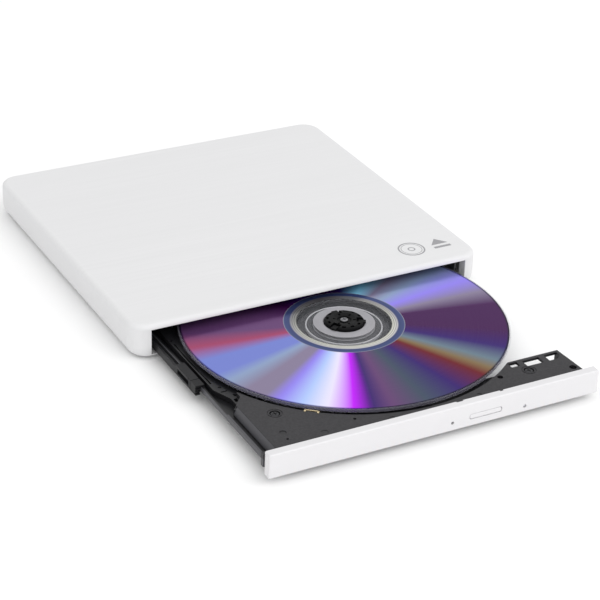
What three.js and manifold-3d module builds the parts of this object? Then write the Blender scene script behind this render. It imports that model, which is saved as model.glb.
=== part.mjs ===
// Slim external optical drive with its tray pulled part of the way out.
// Units are millimetres. +X is to the right, +Y is to the back, +Z is up and z = 0 is the table.
// Places are given from the middle of the case's front face, and the whole group is then moved
// along Y so that the origin is the middle of the object's length.
import * as THREE from "three";
import { mergeVertices } from "three/addons/utils/BufferGeometryUtils.js";
import Module from "manifold-3d";

const wasm = await Module();
wasm.setup();

// ---------------------------------------------------------------- driving dimensions

// Case
const CASE_WIDTH = 144;
const CASE_DEPTH = 137.5;
const CASE_TOP = 14;
const CASE_BOTTOM = 1;
const CASE_CORNER = 7.5;
const CASE_WALL = 1.2;
const SEAM_LOW = 4.1;
const SEAM_HIGH = 4.4;
const RIM = 1.8;
const OPENING_HALF = 65;
const POST_DEPTH = 4;
const SKIRT_INSET_SIDE = 3.2;
const SKIRT_INSET_FRONT = 1.6;
const FLOOR_TOP = CASE_BOTTOM + CASE_WALL;
const CEILING = CASE_TOP - CASE_WALL;

// Tray travel: how far the bezel stands in front of the case as modelled
const TRAY_OUT = 88.4;

// Drive chassis, a standard slim drive shell
const SHELL_HALF = 64.4;
const SHEET = 0.5;
const SHELL_FRONT = 5.5;
const SHELL_BACK = 131.5;
const SHELL_LOW = 2.6;
const SHELL_HIGH = 11.7;
const LID_LOW = 12;
const LID_HIGH = 12.4;
const SHELL_FLOOR = SHELL_LOW + SHEET;

// Bezel
const BEZEL_HALF = 64.1;
const BEZEL_LOW = 2.5;
const BEZEL_HIGH = 11.4;
const BEZEL_THICK = 3.2;
const BEZEL_BEVEL = 0.6;
const BEZEL_CORNER = 0.8;
const BEZEL_FRONT = -TRAY_OUT;
const BEZEL_BACK = BEZEL_FRONT + BEZEL_THICK;
const BEZEL_WALL = 1.5;
const BEZEL_POCKET_TOP = 8.2;
const BUTTON_X = 18.2;
const BUTTON_Z = 6.1;
const BUTTON_HALF = 6.3;
const BUTTON_TALL = 0.9;
const PINHOLE = [5.1, 5.5];
const LAMP = [34, 4.7];

// Tray
const TRAY_FRONT = BEZEL_BACK + 0.3;
const TRAY_BACK = 33.5;
const TRAY_LEFT = -61.4;
const TRAY_RIGHT = 30;
const TRAY_LOW = 3.9;
const DECK = 8.3;
const DECK_LEFT = -57.3;
const DECK_FOOT = -58.6;
const LEDGE_LEFT = -59.2;
const WING_RIGHT = 62;
const WING_FRONT_RIGHT = 62.8;
const WING_BACK = -66.2;
const PANEL = 1;
const WELL_FLOOR = 6.6;
const WELL_RADIUS = 61.4;
const LEDGE = 7;

// Disc and spindle
const DISC_X = 2.5;
const DISC_Y = -18;
const DISC_RADIUS = 60;
const DISC_HOLE = 7.5;
const DISC_TOP = 9;
const DISC_THICK = 1.2;
const CHUCK_RADIUS = 7.2;
const CHUCK_TOP = 10;
const TURNTABLE_RADIUS = 14.5;

// Traverse: the pickup runs from the spindle towards the front left corner
const TRAVERSE_ANGLE = (225 * Math.PI) / 180;
const TRAVERSE_NEAR = -14;
const TRAVERSE_FAR = 64.9;
const TRAVERSE_HALF = 17;
const TRAVERSE_LOW = 4.9;
const TRAVERSE_HIGH = 6;
const SLED_WAY_NEAR = 16;
const SLED_WAY_FAR = 63;
const ROD_RADIUS = 0.75;
const ROD_Z = 5;
const ROD_OFFSET = 12.3;
const SCREW_OFFSET = 14.9;
const SCREW_RADIUS = 0.7;
const SLED_NEAR = 18.5;
const SLED_LENGTH = 12;
const LENS_OFFSET = 6.5;

// Small parts: clearance, how far a cutting tool reaches past a face, how far joined bodies reach
// into each other, and the number of sides of round parts
const GAP = 0.3;
const CUT = 1;
const LAP = 0.2;
const ROUND = 24;
const SMALL_ROUND = 12;
const TINY_ROUND = 8;

const COLOURS = {
  white: [0xeeeeee, 0.45, 0],
  gloss_white: [0xf2f2f6, 0.2, 0],
  black: [0x26262a, 0.6, 0],
  rubber: [0x1c1c1e, 0.9, 0],
  steel: [0xb4b6ba, 0.4, 0.9],
  dark_steel: [0x54565c, 0.45, 0.8],
  green: [0x1f5b3a, 0.5, 0],
  chip: [0x18181a, 0.5, 0],
  brass: [0xb8975a, 0.35, 0.9],
  disc: [0x6a5aa8, 0.15, 0.6],
  lens: [0x7fa8c8, 0.05, 0],
  amber: [0xb87832, 0.5, 0],
};

// ---------------------------------------------------------------- solids and booleans

function solid(geometry) {
  const plain = geometry.index ? geometry.toNonIndexed() : geometry.clone();
  for (const name of Object.keys(plain.attributes)) {
    if (name !== "position") plain.deleteAttribute(name);
  }
  const merged = mergeVertices(plain, 1e-4);
  return new wasm.Manifold(
    new wasm.Mesh({
      numProp: 3,
      vertProperties: merged.attributes.position.array,
      triVerts: new Uint32Array(merged.index.array),
    }),
  );
}

function geometryOf(made) {
  const mesh = made.getMesh();
  const geometry = new THREE.BufferGeometry();
  geometry.setAttribute("position", new THREE.BufferAttribute(mesh.vertProperties, 3));
  geometry.setIndex(new THREE.BufferAttribute(mesh.triVerts, 1));
  return geometry;
}

function box(x0, x1, y0, y1, z0, z1) {
  const geometry = new THREE.BoxGeometry(x1 - x0, y1 - y0, z1 - z0);
  geometry.translate((x0 + x1) / 2, (y0 + y1) / 2, (z0 + z1) / 2);
  return solid(geometry);
}

// Upright cylinder or cone frustum
function post(x, y, z0, z1, radius, sides = SMALL_ROUND, topRadius = radius) {
  const geometry = new THREE.CylinderGeometry(topRadius, radius, z1 - z0, sides);
  geometry.rotateX(Math.PI / 2);
  geometry.translate(x, y, (z0 + z1) / 2);
  return solid(geometry);
}

// Cylinder along X or Y, given by its middle
function bar(axis, x, y, z, length, radius, sides = SMALL_ROUND) {
  const geometry = new THREE.CylinderGeometry(radius, radius, length, sides);
  if (axis === "x") geometry.rotateZ(Math.PI / 2);
  geometry.translate(x, y, z);
  return solid(geometry);
}

// Flat plate with the outline of a list of [x, y] corners
function plate(corners, z0, z1) {
  const shape = new THREE.Shape(corners.map(([x, y]) => new THREE.Vector2(x, y)));
  const geometry = new THREE.ExtrudeGeometry(shape, { depth: z1 - z0, bevelEnabled: false });
  geometry.translate(0, 0, z0);
  return solid(geometry);
}

// Bar along X with the outline of a list of [y, z] corners
function profileAlongX(corners, x0, x1) {
  const shape = new THREE.Shape(corners.map(([y, z]) => new THREE.Vector2(y, z)));
  const geometry = new THREE.ExtrudeGeometry(shape, { depth: x1 - x0, bevelEnabled: false });
  geometry.rotateX(Math.PI / 2);
  geometry.rotateZ(Math.PI / 2);
  geometry.translate(x0, 0, 0);
  return solid(geometry);
}

// Bar along Y with the outline of a list of [x, z] corners
function profileAlongY(corners, y0, y1) {
  const shape = new THREE.Shape(corners.map(([x, z]) => new THREE.Vector2(x, z)));
  const geometry = new THREE.ExtrudeGeometry(shape, { depth: y1 - y0, bevelEnabled: false });
  geometry.rotateX(Math.PI / 2);
  geometry.translate(0, y1, 0);
  return solid(geometry);
}

// Convex solid stacked from level outlines that all have the same number of points
function stack(rings) {
  const count = rings[0].length;
  const points = rings.flat();
  const index = [];
  for (let level = 0; level + 1 < rings.length; level += 1) {
    for (let i = 0; i < count; i += 1) {
      const a = level * count + i;
      const b = level * count + ((i + 1) % count);
      index.push(a, b, b + count, a, b + count, a + count);
    }
  }
  const last = (rings.length - 1) * count;
  for (let i = 1; i + 1 < count; i += 1) {
    index.push(0, i + 1, i, last, last + i, last + i + 1);
  }
  const geometry = new THREE.BufferGeometry();
  geometry.setAttribute("position", new THREE.Float32BufferAttribute(points.flat(), 3));
  geometry.setIndex(index);
  return solid(geometry);
}

// Level outline of a rectangle with rounded corners
function roundedRing(x0, x1, y0, y1, radius, z, steps = 5) {
  const centres = [
    [x1 - radius, y0 + radius, -90],
    [x1 - radius, y1 - radius, 0],
    [x0 + radius, y1 - radius, 90],
    [x0 + radius, y0 + radius, 180],
  ];
  const ring = [];
  for (const [cx, cy, start] of centres) {
    for (let i = 0; i <= steps; i += 1) {
      const angle = ((start + (90 * i) / steps) * Math.PI) / 180;
      ring.push([cx + radius * Math.cos(angle), cy + radius * Math.sin(angle), z]);
    }
  }
  return ring;
}

// The case's outline, drawn in by side (left, right and back) and by front
function caseRing(side, front, z) {
  const half = CASE_WIDTH / 2 - side;
  return roundedRing(-half, half, front, CASE_DEPTH - side, CASE_CORNER - Math.min(side, 5), z);
}

function cutAll(start, tools) {
  return tools.reduce((left, tool) => left.subtract(tool), start);
}

function addAll(start, more) {
  return more.reduce((sum, piece) => sum.add(piece), start);
}

// Cross-head screw with its head at the low end (up = -1) or at the high end (up = 1)
function crossHeadScrew(x, y, head, tip, thick, headRadius, shaftRadius, up) {
  const inside = head - up * thick;
  const discHead = post(x, y, Math.min(head, inside), Math.max(head, inside), headRadius, SMALL_ROUND);
  const shaftEnd = inside + up * LAP / 2;
  const shaft = post(x, y, Math.min(shaftEnd, tip), Math.max(shaftEnd, tip), shaftRadius, 6);
  const reach = headRadius * 0.68;
  const half = 0.2;
  const floor = head - up * thick * 0.45;
  const low = Math.min(floor, head + up * CUT);
  const high = Math.max(floor, head + up * CUT);
  const slot = box(x - reach, x + reach, y - half, y + half, low, high);
  const cross = box(x - half, x + half, y - reach, y + reach, low, high);
  return cutAll(discHead.add(shaft), [slot, cross]);
}

// ---------------------------------------------------------------- the assembly

const drive = new THREE.Group();
drive.position.y = (TRAY_OUT - CASE_DEPTH) / 2;
const traverse = new THREE.Group();
traverse.position.set(DISC_X, DISC_Y, 0);
traverse.rotation.z = TRAVERSE_ANGLE;
const spindle = new THREE.Group();
spindle.position.set(DISC_X, DISC_Y, 0);
drive.add(traverse, spindle);

function piece(group, name, colour, made) {
  const [color, roughness, metalness] = COLOURS[colour];
  const material = new THREE.MeshStandardMaterial({ color, roughness, metalness });
  const mesh = new THREE.Mesh(geometryOf(made), material);
  mesh.name = name;
  group.add(mesh);
}

// ---------------------------------------------------------------- case

const SCREW_PLACES = [
  ["front_left", -67.2, 12],
  ["front_right", 67.2, 12],
  ["back_left", -67.2, 124],
  ["back_right", 67.2, 124],
];
const FOOT_PLACES = [
  ["front_left", -52, 17],
  ["front_right", 52, 17],
  ["back_left", -52, 120],
  ["back_right", 52, 120],
];
const FOOT_RADIUS = 4;
const FOOT_RECESS = 0.6;
const FOOT_SIDES = 16;
const SCREW_HEAD = 1.6;
const SCREW_HEAD_LOW = 1.3;
const SCREW_HEAD_THICK = 1;
const SCREW_SHAFT = 0.8;
const SCREW_TIP = 7.5;
const BOSS_RADIUS = 2.1;
const BOSS_FOOT = 4.8;
const BOSS_BORE_TOP = 8.5;
const RIB_TOP = 5;
const RIB_THICK = 1;
const SIDE_RIB = [30, 100];
const BACK_RIB = [0, 56];
const SOCKET_X = -40;
const SOCKET_HALF = 3.85;
const SOCKET_LOW = 5.5;
const SOCKET_HIGH = 9.4;

function topCover() {
  const rings = [caseRing(0, 0, SEAM_HIGH), caseRing(0, 0, CASE_TOP - RIM)];
  for (const degrees of [30, 60, 90]) {
    const angle = (degrees * Math.PI) / 180;
    const inset = RIM * (1 - Math.cos(angle));
    rings.push(caseRing(inset, inset, CASE_TOP - RIM + RIM * Math.sin(angle)));
  }
  let made = stack(rings);
  const inner = [SEAM_HIGH - CUT, CEILING].map((z) => caseRing(CASE_WALL, POST_DEPTH, z));
  made = made.subtract(stack(inner));
  const mouthTop = CASE_TOP - RIM;
  const mouthBack = POST_DEPTH + CUT;
  made = made.subtract(
    box(-OPENING_HALF, OPENING_HALF, -CUT, mouthBack, SEAM_HIGH - CUT, mouthTop),
  );
  for (const [, x, y] of SCREW_PLACES) {
    made = made.add(post(x, y, BOSS_FOOT, CEILING + LAP, BOSS_RADIUS));
    made = made.subtract(
      post(x, y, BOSS_FOOT - CUT, BOSS_BORE_TOP, SCREW_SHAFT + GAP, TINY_ROUND),
    );
  }
  const socketSlot = box(
    SOCKET_X - SOCKET_HALF - GAP,
    SOCKET_X + SOCKET_HALF + GAP,
    CASE_DEPTH - CASE_WALL - CUT,
    CASE_DEPTH + CUT,
    SOCKET_LOW - GAP,
    SOCKET_HIGH + GAP,
  );
  return made.subtract(socketSlot);
}

function bottomCover() {
  const rise = SEAM_LOW - CASE_BOTTOM;
  const outer = [];
  for (const degrees of [0, 30, 60, 90]) {
    const angle = (degrees * Math.PI) / 180;
    const inward = 1 - Math.sin(angle);
    const z = CASE_BOTTOM + rise * (1 - Math.cos(angle));
    outer.push(caseRing(SKIRT_INSET_SIDE * inward, SKIRT_INSET_FRONT * inward, z));
  }
  const inner = [
    caseRing(SKIRT_INSET_SIDE + CASE_WALL / 2, SKIRT_INSET_FRONT + CASE_WALL * 2, FLOOR_TOP),
    caseRing(CASE_WALL, POST_DEPTH, SEAM_LOW),
    caseRing(CASE_WALL, POST_DEPTH, SEAM_LOW + CUT),
  ];
  let made = stack(outer).subtract(stack(inner));
  made = made.subtract(
    box(-OPENING_HALF, OPENING_HALF, -CUT, POST_DEPTH + CUT, FLOOR_TOP, SEAM_LOW + CUT),
  );
  const headTop = SCREW_HEAD_LOW + SCREW_HEAD_THICK + GAP;
  for (const [, x, y] of SCREW_PLACES) {
    made = made.add(post(x, y, FLOOR_TOP - LAP, SEAM_LOW + LAP, BOSS_RADIUS));
    made = made.subtract(post(x, y, 0, headTop, SCREW_HEAD + GAP));
    made = made.subtract(
      post(x, y, headTop - CUT / 2, SEAM_LOW + CUT, SCREW_SHAFT + GAP, TINY_ROUND),
    );
  }
  for (const [, x, y] of FOOT_PLACES) {
    made = made.subtract(post(x, y, 0, CASE_BOTTOM + FOOT_RECESS, FOOT_RADIUS + GAP, FOOT_SIDES));
  }
  // Ribs that hold the drive's shell sideways and at the back
  for (const side of [-1, 1]) {
    const near = side * (SHELL_HALF + GAP);
    const far = side * (SHELL_HALF + GAP + RIB_THICK);
    const left = Math.min(near, far);
    made = made.add(box(left, left + RIB_THICK, ...SIDE_RIB, FLOOR_TOP - LAP, RIB_TOP));
  }
  const ribFront = SHELL_BACK + GAP;
  return made.add(box(...BACK_RIB, ribFront, ribFront + RIB_THICK, FLOOR_TOP - LAP, RIB_TOP));
}

piece(drive, "top_cover", "white", topCover());
piece(drive, "bottom_cover", "white", bottomCover());
for (const [place, x, y] of FOOT_PLACES) {
  const foot = post(x, y, 0, CASE_BOTTOM + FOOT_RECESS - GAP, FOOT_RADIUS, FOOT_SIDES);
  piece(drive, `foot_${place}`, "rubber", foot);
}
for (const [place, x, y] of SCREW_PLACES) {
  const screw = crossHeadScrew(
    x,
    y,
    SCREW_HEAD_LOW,
    SCREW_TIP,
    SCREW_HEAD_THICK,
    SCREW_HEAD,
    SCREW_SHAFT,
    -1,
  );
  piece(drive, `case_screw_${place}`, "dark_steel", screw);
}

// ---------------------------------------------------------------- USB bridge behind the drive

const BRIDGE_Z = 5.2;
const BRIDGE_THICK = 0.8;
const BRIDGE_FRONT = SHELL_BACK + 0.6;
const BRIDGE_BACK = CASE_DEPTH - CASE_WALL - GAP;
const BRIDGE_SIDES = [-60, -8];
const BRIDGE_CHIP = [-31, -26];
const SOCKET_SHEET = 0.4;
const TONGUE = { half: 2.4, low: 7, high: 7.9, short: 1.5 };
const CONNECTOR = { left: -22, right: -10, front: 126.6, back: 135, tall: 1.8 };

function usbSocket() {
  const front = BRIDGE_FRONT;
  const back = CASE_DEPTH - 0.1;
  const left = SOCKET_X - SOCKET_HALF;
  const right = SOCKET_X + SOCKET_HALF;
  const shell = box(left, right, front, back, SOCKET_LOW, SOCKET_HIGH);
  const mouth = box(
    left + SOCKET_SHEET,
    right - SOCKET_SHEET,
    front + SOCKET_SHEET,
    back + CUT,
    SOCKET_LOW + SOCKET_SHEET,
    SOCKET_HIGH - SOCKET_SHEET,
  );
  const tongue = box(
    SOCKET_X - TONGUE.half,
    SOCKET_X + TONGUE.half,
    front + LAP,
    back - TONGUE.short,
    TONGUE.low,
    TONGUE.high,
  );
  return shell.subtract(mouth).add(tongue);
}

piece(
  drive,
  "usb_bridge_board",
  "green",
  box(...BRIDGE_SIDES, BRIDGE_FRONT, BRIDGE_BACK, BRIDGE_Z - BRIDGE_THICK, BRIDGE_Z),
);
piece(
  drive,
  "usb_bridge_chip",
  "chip",
  box(...BRIDGE_CHIP, BRIDGE_FRONT + 0.6, BRIDGE_BACK - 0.6, BRIDGE_Z + GAP, BRIDGE_Z + 1.3),
);
piece(drive, "usb_socket", "steel", usbSocket());
const connectorLow = BRIDGE_Z + GAP;
piece(
  drive,
  "data_connector",
  "chip",
  box(
    CONNECTOR.left,
    CONNECTOR.right,
    CONNECTOR.front,
    CONNECTOR.back,
    connectorLow,
    connectorLow + CONNECTOR.tall,
  ),
);

// ---------------------------------------------------------------- drive shell

const LATCH_X = 36.4;
const LATCH_Y = 13.3;
const LATCH_RADIUS = 0.9;
const LATCH_POST_TOP = 6.4;
const STAND_OFF = 0.15;
const FLOOR_HOLES = [-46, 46];
const FLOOR_HOLE_Y = 62;
const FLOOR_HOLE_RADIUS = 3;
const GUIDE_FRONT = { left: 8, right: 26 };
const GUIDE_BACK = 122;
const GUIDE_LEFT = { wall: -63.6, wallRight: -62.8, lipRight: -61.9, low: 7.3, lip: 9.2, high: 10 };
const GUIDE_RIGHT = { wall: 33.6, wallRight: 34.4, footRight: 36.4, footTop: 3.9, high: 6.2 };

function driveChassis() {
  let made = box(-SHELL_HALF, SHELL_HALF, SHELL_FRONT, SHELL_BACK, SHELL_LOW, SHELL_HIGH);
  const hollow = box(
    -SHELL_HALF + SHEET,
    SHELL_HALF - SHEET,
    SHELL_FRONT - CUT,
    SHELL_BACK - SHEET,
    SHELL_FLOOR,
    SHELL_HIGH + CUT,
  );
  made = made.subtract(hollow);
  // Way out for the data connector, and round holes in the floor
  const doorLeft = CONNECTOR.left - 2;
  const doorRight = CONNECTOR.right + 2;
  const doorTop = connectorLow + CONNECTOR.tall + GAP;
  made = made.subtract(
    box(doorLeft, doorRight, SHELL_BACK - CUT, SHELL_BACK + CUT, SHELL_FLOOR, doorTop),
  );
  for (const x of FLOOR_HOLES) {
    const hole = post(x, FLOOR_HOLE_Y, SHELL_LOW - CUT, SHELL_FLOOR + CUT, FLOOR_HOLE_RADIUS);
    made = made.subtract(hole);
  }
  return made;
}

// Channels that the intermediate rails slide in
function fixedGuideLeft() {
  const g = GUIDE_LEFT;
  const outline = [
    [g.wall, g.low],
    [g.wallRight, g.low],
    [g.wallRight, g.lip],
    [g.lipRight, g.lip],
    [g.lipRight, g.high],
    [g.wall, g.high],
  ];
  return profileAlongY(outline, GUIDE_FRONT.left, GUIDE_BACK);
}

function fixedGuideRight() {
  const g = GUIDE_RIGHT;
  const low = SHELL_FLOOR + STAND_OFF;
  const outline = [
    [g.wall, low],
    [g.footRight, low],
    [g.footRight, g.footTop],
    [g.wallRight, g.footTop],
    [g.wallRight, g.high],
    [g.wall, g.high],
  ];
  return profileAlongY(outline, GUIDE_FRONT.right, GUIDE_BACK);
}

piece(drive, "drive_chassis", "steel", driveChassis());
piece(
  drive,
  "drive_lid",
  "steel",
  box(-SHELL_HALF, SHELL_HALF, SHELL_FRONT, SHELL_BACK, LID_LOW, LID_HIGH),
);
piece(drive, "fixed_guide_left", "black", fixedGuideLeft());
piece(drive, "fixed_guide_right", "black", fixedGuideRight());

const BOARD_LOW = 4.3;
const BOARD_HIGH = 5.1;
const BOARD_OUTLINE = [
  [37, 28],
  [63, 28],
  [63, 130],
  [-22, 130],
  [-22, 127.8],
  [37, 127.8],
];
const CHIP = { left: 42, right: 58, front: 58, back: 74, tall: 1.2 };
const RIBBON_SOCKET = { left: 12, right: 28, front: 124, back: 127.4, tall: 1.7 };

piece(drive, "main_board", "green", plate(BOARD_OUTLINE, BOARD_LOW, BOARD_HIGH));
const chipLow = BOARD_HIGH + GAP;
piece(
  drive,
  "controller_chip",
  "chip",
  box(CHIP.left, CHIP.right, CHIP.front, CHIP.back, chipLow, chipLow + CHIP.tall),
);
const socketLow = SHELL_FLOOR + LAP;
piece(
  drive,
  "ribbon_socket",
  "black",
  box(
    RIBBON_SOCKET.left,
    RIBBON_SOCKET.right,
    RIBBON_SOCKET.front,
    RIBBON_SOCKET.back,
    socketLow,
    socketLow + RIBBON_SOCKET.tall,
  ),
);
piece(
  drive,
  "latch_post",
  "steel",
  post(LATCH_X, LATCH_Y, SHELL_FLOOR + STAND_OFF, LATCH_POST_TOP, LATCH_RADIUS, 10),
);

// ---------------------------------------------------------------- flat ribbon cable

const RIBBON_LEFT = 12.5;
const RIBBON_RIGHT = 27.5;
const RIBBON_FOLD = 3;
const RIBBON_Z = 3.95;
const RIBBON_BEND = 0.28;
const RIBBON_THICK = 0.12;
const RIBBON_LOW_LEG = 57;
const RIBBON_HIGH_LEG = 24;
const RIBBON_TURNS = 6;
const LOWER_RUN = { front: 6, back: 123.7, low: 3.22, high: 3.38 };
const UPPER_RUN = { front: 4, back: 29, low: 4.5, high: 4.66 };

// The bend and the two legs behind it; the legs slide along the fixed lower and upper runs
function ribbonFold() {
  const outer = RIBBON_BEND + RIBBON_THICK;
  const outline = [];
  for (let i = 0; i <= RIBBON_TURNS; i += 1) {
    const angle = ((90 + (180 * i) / RIBBON_TURNS) * Math.PI) / 180;
    outline.push([RIBBON_FOLD + outer * Math.cos(angle), RIBBON_Z + outer * Math.sin(angle)]);
  }
  const lowEnd = RIBBON_FOLD + RIBBON_LOW_LEG;
  const highEnd = RIBBON_FOLD + RIBBON_HIGH_LEG;
  outline.push([lowEnd, RIBBON_Z - outer], [lowEnd, RIBBON_Z - RIBBON_BEND]);
  for (let i = RIBBON_TURNS; i >= 0; i -= 1) {
    const angle = ((90 + (180 * i) / RIBBON_TURNS) * Math.PI) / 180;
    const y = RIBBON_FOLD + RIBBON_BEND * Math.cos(angle);
    outline.push([y, RIBBON_Z + RIBBON_BEND * Math.sin(angle)]);
  }
  outline.push([highEnd, RIBBON_Z + RIBBON_BEND], [highEnd, RIBBON_Z + outer]);
  return profileAlongX(outline, RIBBON_LEFT, RIBBON_RIGHT);
}

function ribbonRun({ front, back, low, high }) {
  return box(RIBBON_LEFT, RIBBON_RIGHT, front, back, low, high);
}

piece(drive, "ribbon_lower", "amber", ribbonRun(LOWER_RUN));
piece(drive, "ribbon_fold", "amber", ribbonFold());
piece(drive, "ribbon_upper", "amber", ribbonRun(UPPER_RUN));

// ---------------------------------------------------------------- intermediate rails

const RAIL_BOX_BACK = -17;
const RAIL_FRONT = -33.3;
const RAIL_BACK = 74;
const RAIL_LOW = 3.3;
const RAIL_LEFT = -63.6;
const RAIL_WALL = 0.9;
const RAIL_HIGH = 6.3;
const RAIL_FOOT = { right: -60.9, high: 3.8 };
const RAIL_BLOCK = 4.5;
const RAIL_ROOF = 6.2;
const RAIL_BOX_HIGH = 7;
const RAIL_BOX_RIGHT = -60.3;
const RAIL_WINDOW = { front: -27.5, back: -18.5, low: 4.1, high: 5.9 };
const BLOCK_WALL = 1.8;
const BLOCK_GROOVES = 3;
const BLOCK_GROOVE = { first: 0.6, step: 0.95, tall: 0.45, deep: 0.5 };
const RIGHT_RAIL = { front: -18, footLeft: 30.6, wallLeft: 32.2, right: 33.2, high: 6.2 };

// Thin wall with a foot, and at the front a box that reaches over the tray's runner flange
function railLeft() {
  const front = RAIL_FRONT + RAIL_BLOCK;
  const wall = RAIL_LEFT + RAIL_WALL;
  const foot = [
    [RAIL_LEFT, RAIL_LOW],
    [RAIL_FOOT.right, RAIL_LOW],
    [RAIL_FOOT.right, RAIL_FOOT.high],
    [wall, RAIL_FOOT.high],
  ];
  const channel = [...foot, [wall, RAIL_HIGH], [RAIL_LEFT, RAIL_HIGH]];
  const roofed = [
    ...foot,
    [wall, RAIL_ROOF],
    [RAIL_BOX_RIGHT, RAIL_ROOF],
    [RAIL_BOX_RIGHT, RAIL_BOX_HIGH],
    [RAIL_LEFT, RAIL_BOX_HIGH],
  ];
  const made = profileAlongY(roofed, front, RAIL_BOX_BACK);
  const whole = made.add(profileAlongY(channel, RAIL_BOX_BACK - CUT, RAIL_BACK));
  const { front: near, back: far, low, high } = RAIL_WINDOW;
  return whole.subtract(box(RAIL_LEFT - CUT, wall + LAP, near, far, low, high));
}

function railEndBlock() {
  const outline = [
    [RAIL_LEFT, RAIL_LOW],
    [RAIL_LEFT + BLOCK_WALL, RAIL_LOW],
    [RAIL_LEFT + BLOCK_WALL, RAIL_ROOF],
    [RAIL_BOX_RIGHT, RAIL_ROOF],
    [RAIL_BOX_RIGHT, RAIL_BOX_HIGH],
    [RAIL_LEFT, RAIL_BOX_HIGH],
  ];
  let made = profileAlongY(outline, RAIL_FRONT, RAIL_FRONT + RAIL_BLOCK - GAP);
  const { first, step, tall, deep } = BLOCK_GROOVE;
  for (let i = 0; i < BLOCK_GROOVES; i += 1) {
    const z = RAIL_LOW + first + step * i;
    const right = RAIL_LEFT + BLOCK_WALL + CUT;
    const groove = box(RAIL_LEFT - CUT, right, RAIL_FRONT - CUT, RAIL_FRONT + deep, z, z + tall);
    made = made.subtract(groove);
  }
  return made;
}

function railRight() {
  const rail = RIGHT_RAIL;
  const outline = [
    [rail.footLeft, RAIL_LOW],
    [rail.right, RAIL_LOW],
    [rail.right, rail.high],
    [rail.wallLeft, rail.high],
    [rail.wallLeft, RAIL_FOOT.high],
    [rail.footLeft, RAIL_FOOT.high],
  ];
  return profileAlongY(outline, rail.front, RAIL_BACK);
}

piece(drive, "rail_left", "dark_steel", railLeft());
piece(drive, "rail_left_end_block", "black", railEndBlock());
piece(drive, "rail_right", "dark_steel", railRight());

// ---------------------------------------------------------------- tray

// Box in the traverse's own frame, as a tool to cut the tray with
function traverseTool(x0, x1, y0, y1, z0, z1) {
  const geometry = new THREE.BoxGeometry(x1 - x0, y1 - y0, z1 - z0);
  geometry.translate((x0 + x1) / 2, (y0 + y1) / 2, (z0 + z1) / 2);
  geometry.rotateZ(TRAVERSE_ANGLE);
  geometry.translate(DISC_X, DISC_Y, 0);
  return solid(geometry);
}

const WING_CORNERS = [
  [WING_RIGHT, WING_BACK],
  [40, WING_BACK],
  [33.8, -70],
  [TRAY_RIGHT, -70],
];
// Where the left edge turns in at the end of the deck, from the back to the front
const LEFT_CORNERS = [
  [LEDGE_LEFT, TRAY_BACK],
  [LEDGE_LEFT, -38],
  [-56.2, -45.5],
  [-56.2, -49.8],
  [DECK_FOOT, -52.5],
];
// Corners of the lower ledge beside the disc well, cut out above it
const LEDGE_CORNERS = [
  [TRAY_LEFT - 1, -52.5],
  [-57.8, -52.5],
  [-53.7, -47.4],
  [-53.7, TRAY_BACK + 1],
  [TRAY_LEFT - 1, TRAY_BACK + 1],
];
const LEDGE_SLOTS = [
  [-54.4, -51.9, -44.6, -43],
  [-55.6, -54.3, -48, -46],
];
const SLOT_FLOOR = 5.6;
const WING_WINDOWS = [
  [[40.6, -69.8], [44.1, -69.8], [44.1, -67.1], [40.6, -67.1]],
  [[46.2, -71.3], [53, -71.3], [53, -67.5], [46.2, -67.5]],
  [[55.4, -71.3], [59, -71.3], [60.8, -69.5], [60.8, -67.3], [55.4, -67.3]],
];
const WING_HOLES = [
  [33.3, -73.5, 1.1],
  [60.3, -78.5, 1.4],
];
const WING_HOLE_FLOOR = 5.4;
// Middle, radius and depth
const DECK_HOLES = [
  [-51, -73.5, 1.3, 0.2],
  [-51.4, -77.6, 0.5, 0.7],
  [-25.5, -76, 0.6, 0.7],
];
const TRAY_SCREW_PLACES = [
  ["front_left", -48, -61.8],
  ["front_right", 45.1, -73.7],
  ["back_left", -50, 26],
];
const TRAY_SCREW_HEAD = 1.5;
const TRAY_SCREW_THICK = 0.5;
const TRAY_SCREW_SUNK = 0.1;
const TRAY_SCREW_SHAFT = 0.6;
const BOSS_LOW = 5.5;
const FLANGE = { thick: 0.9, low: 4.2, high: 5.9, webHigh: 4.8, webRight: -55.5 };
const HOOK = { left: -64, right: -59.5, long: 1.6, low: 3, high: 10, thick: 1.4 };
const FRONT_ROOM = { left: 4, right: 60, back: -74.4 };
const WING_ROOM = { left: 38.5, right: 61.1 };
const SWITCH_ROOM = { half: 3, long: 2, below: 0.9 };
const LAMP_ROOM = { half: 2, long: 2, above: 1.3 };
const RIBBON_ROOM = { front: -60, high: 5 };
const LATCH_ROOM = { half: 1.5, right: 43, front: 8, back: 3.4, high: 7 };
const UNDER_COVER = { left: -58.2, low: 3.3, high: 3.6 };
const UNDER_COVER_RIGHT = [3, 10.6];
const UNDER_COVER_BACK = 32;

function trayScrewTop(y) {
  return y > 0 ? WELL_FLOOR : DECK;
}

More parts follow.
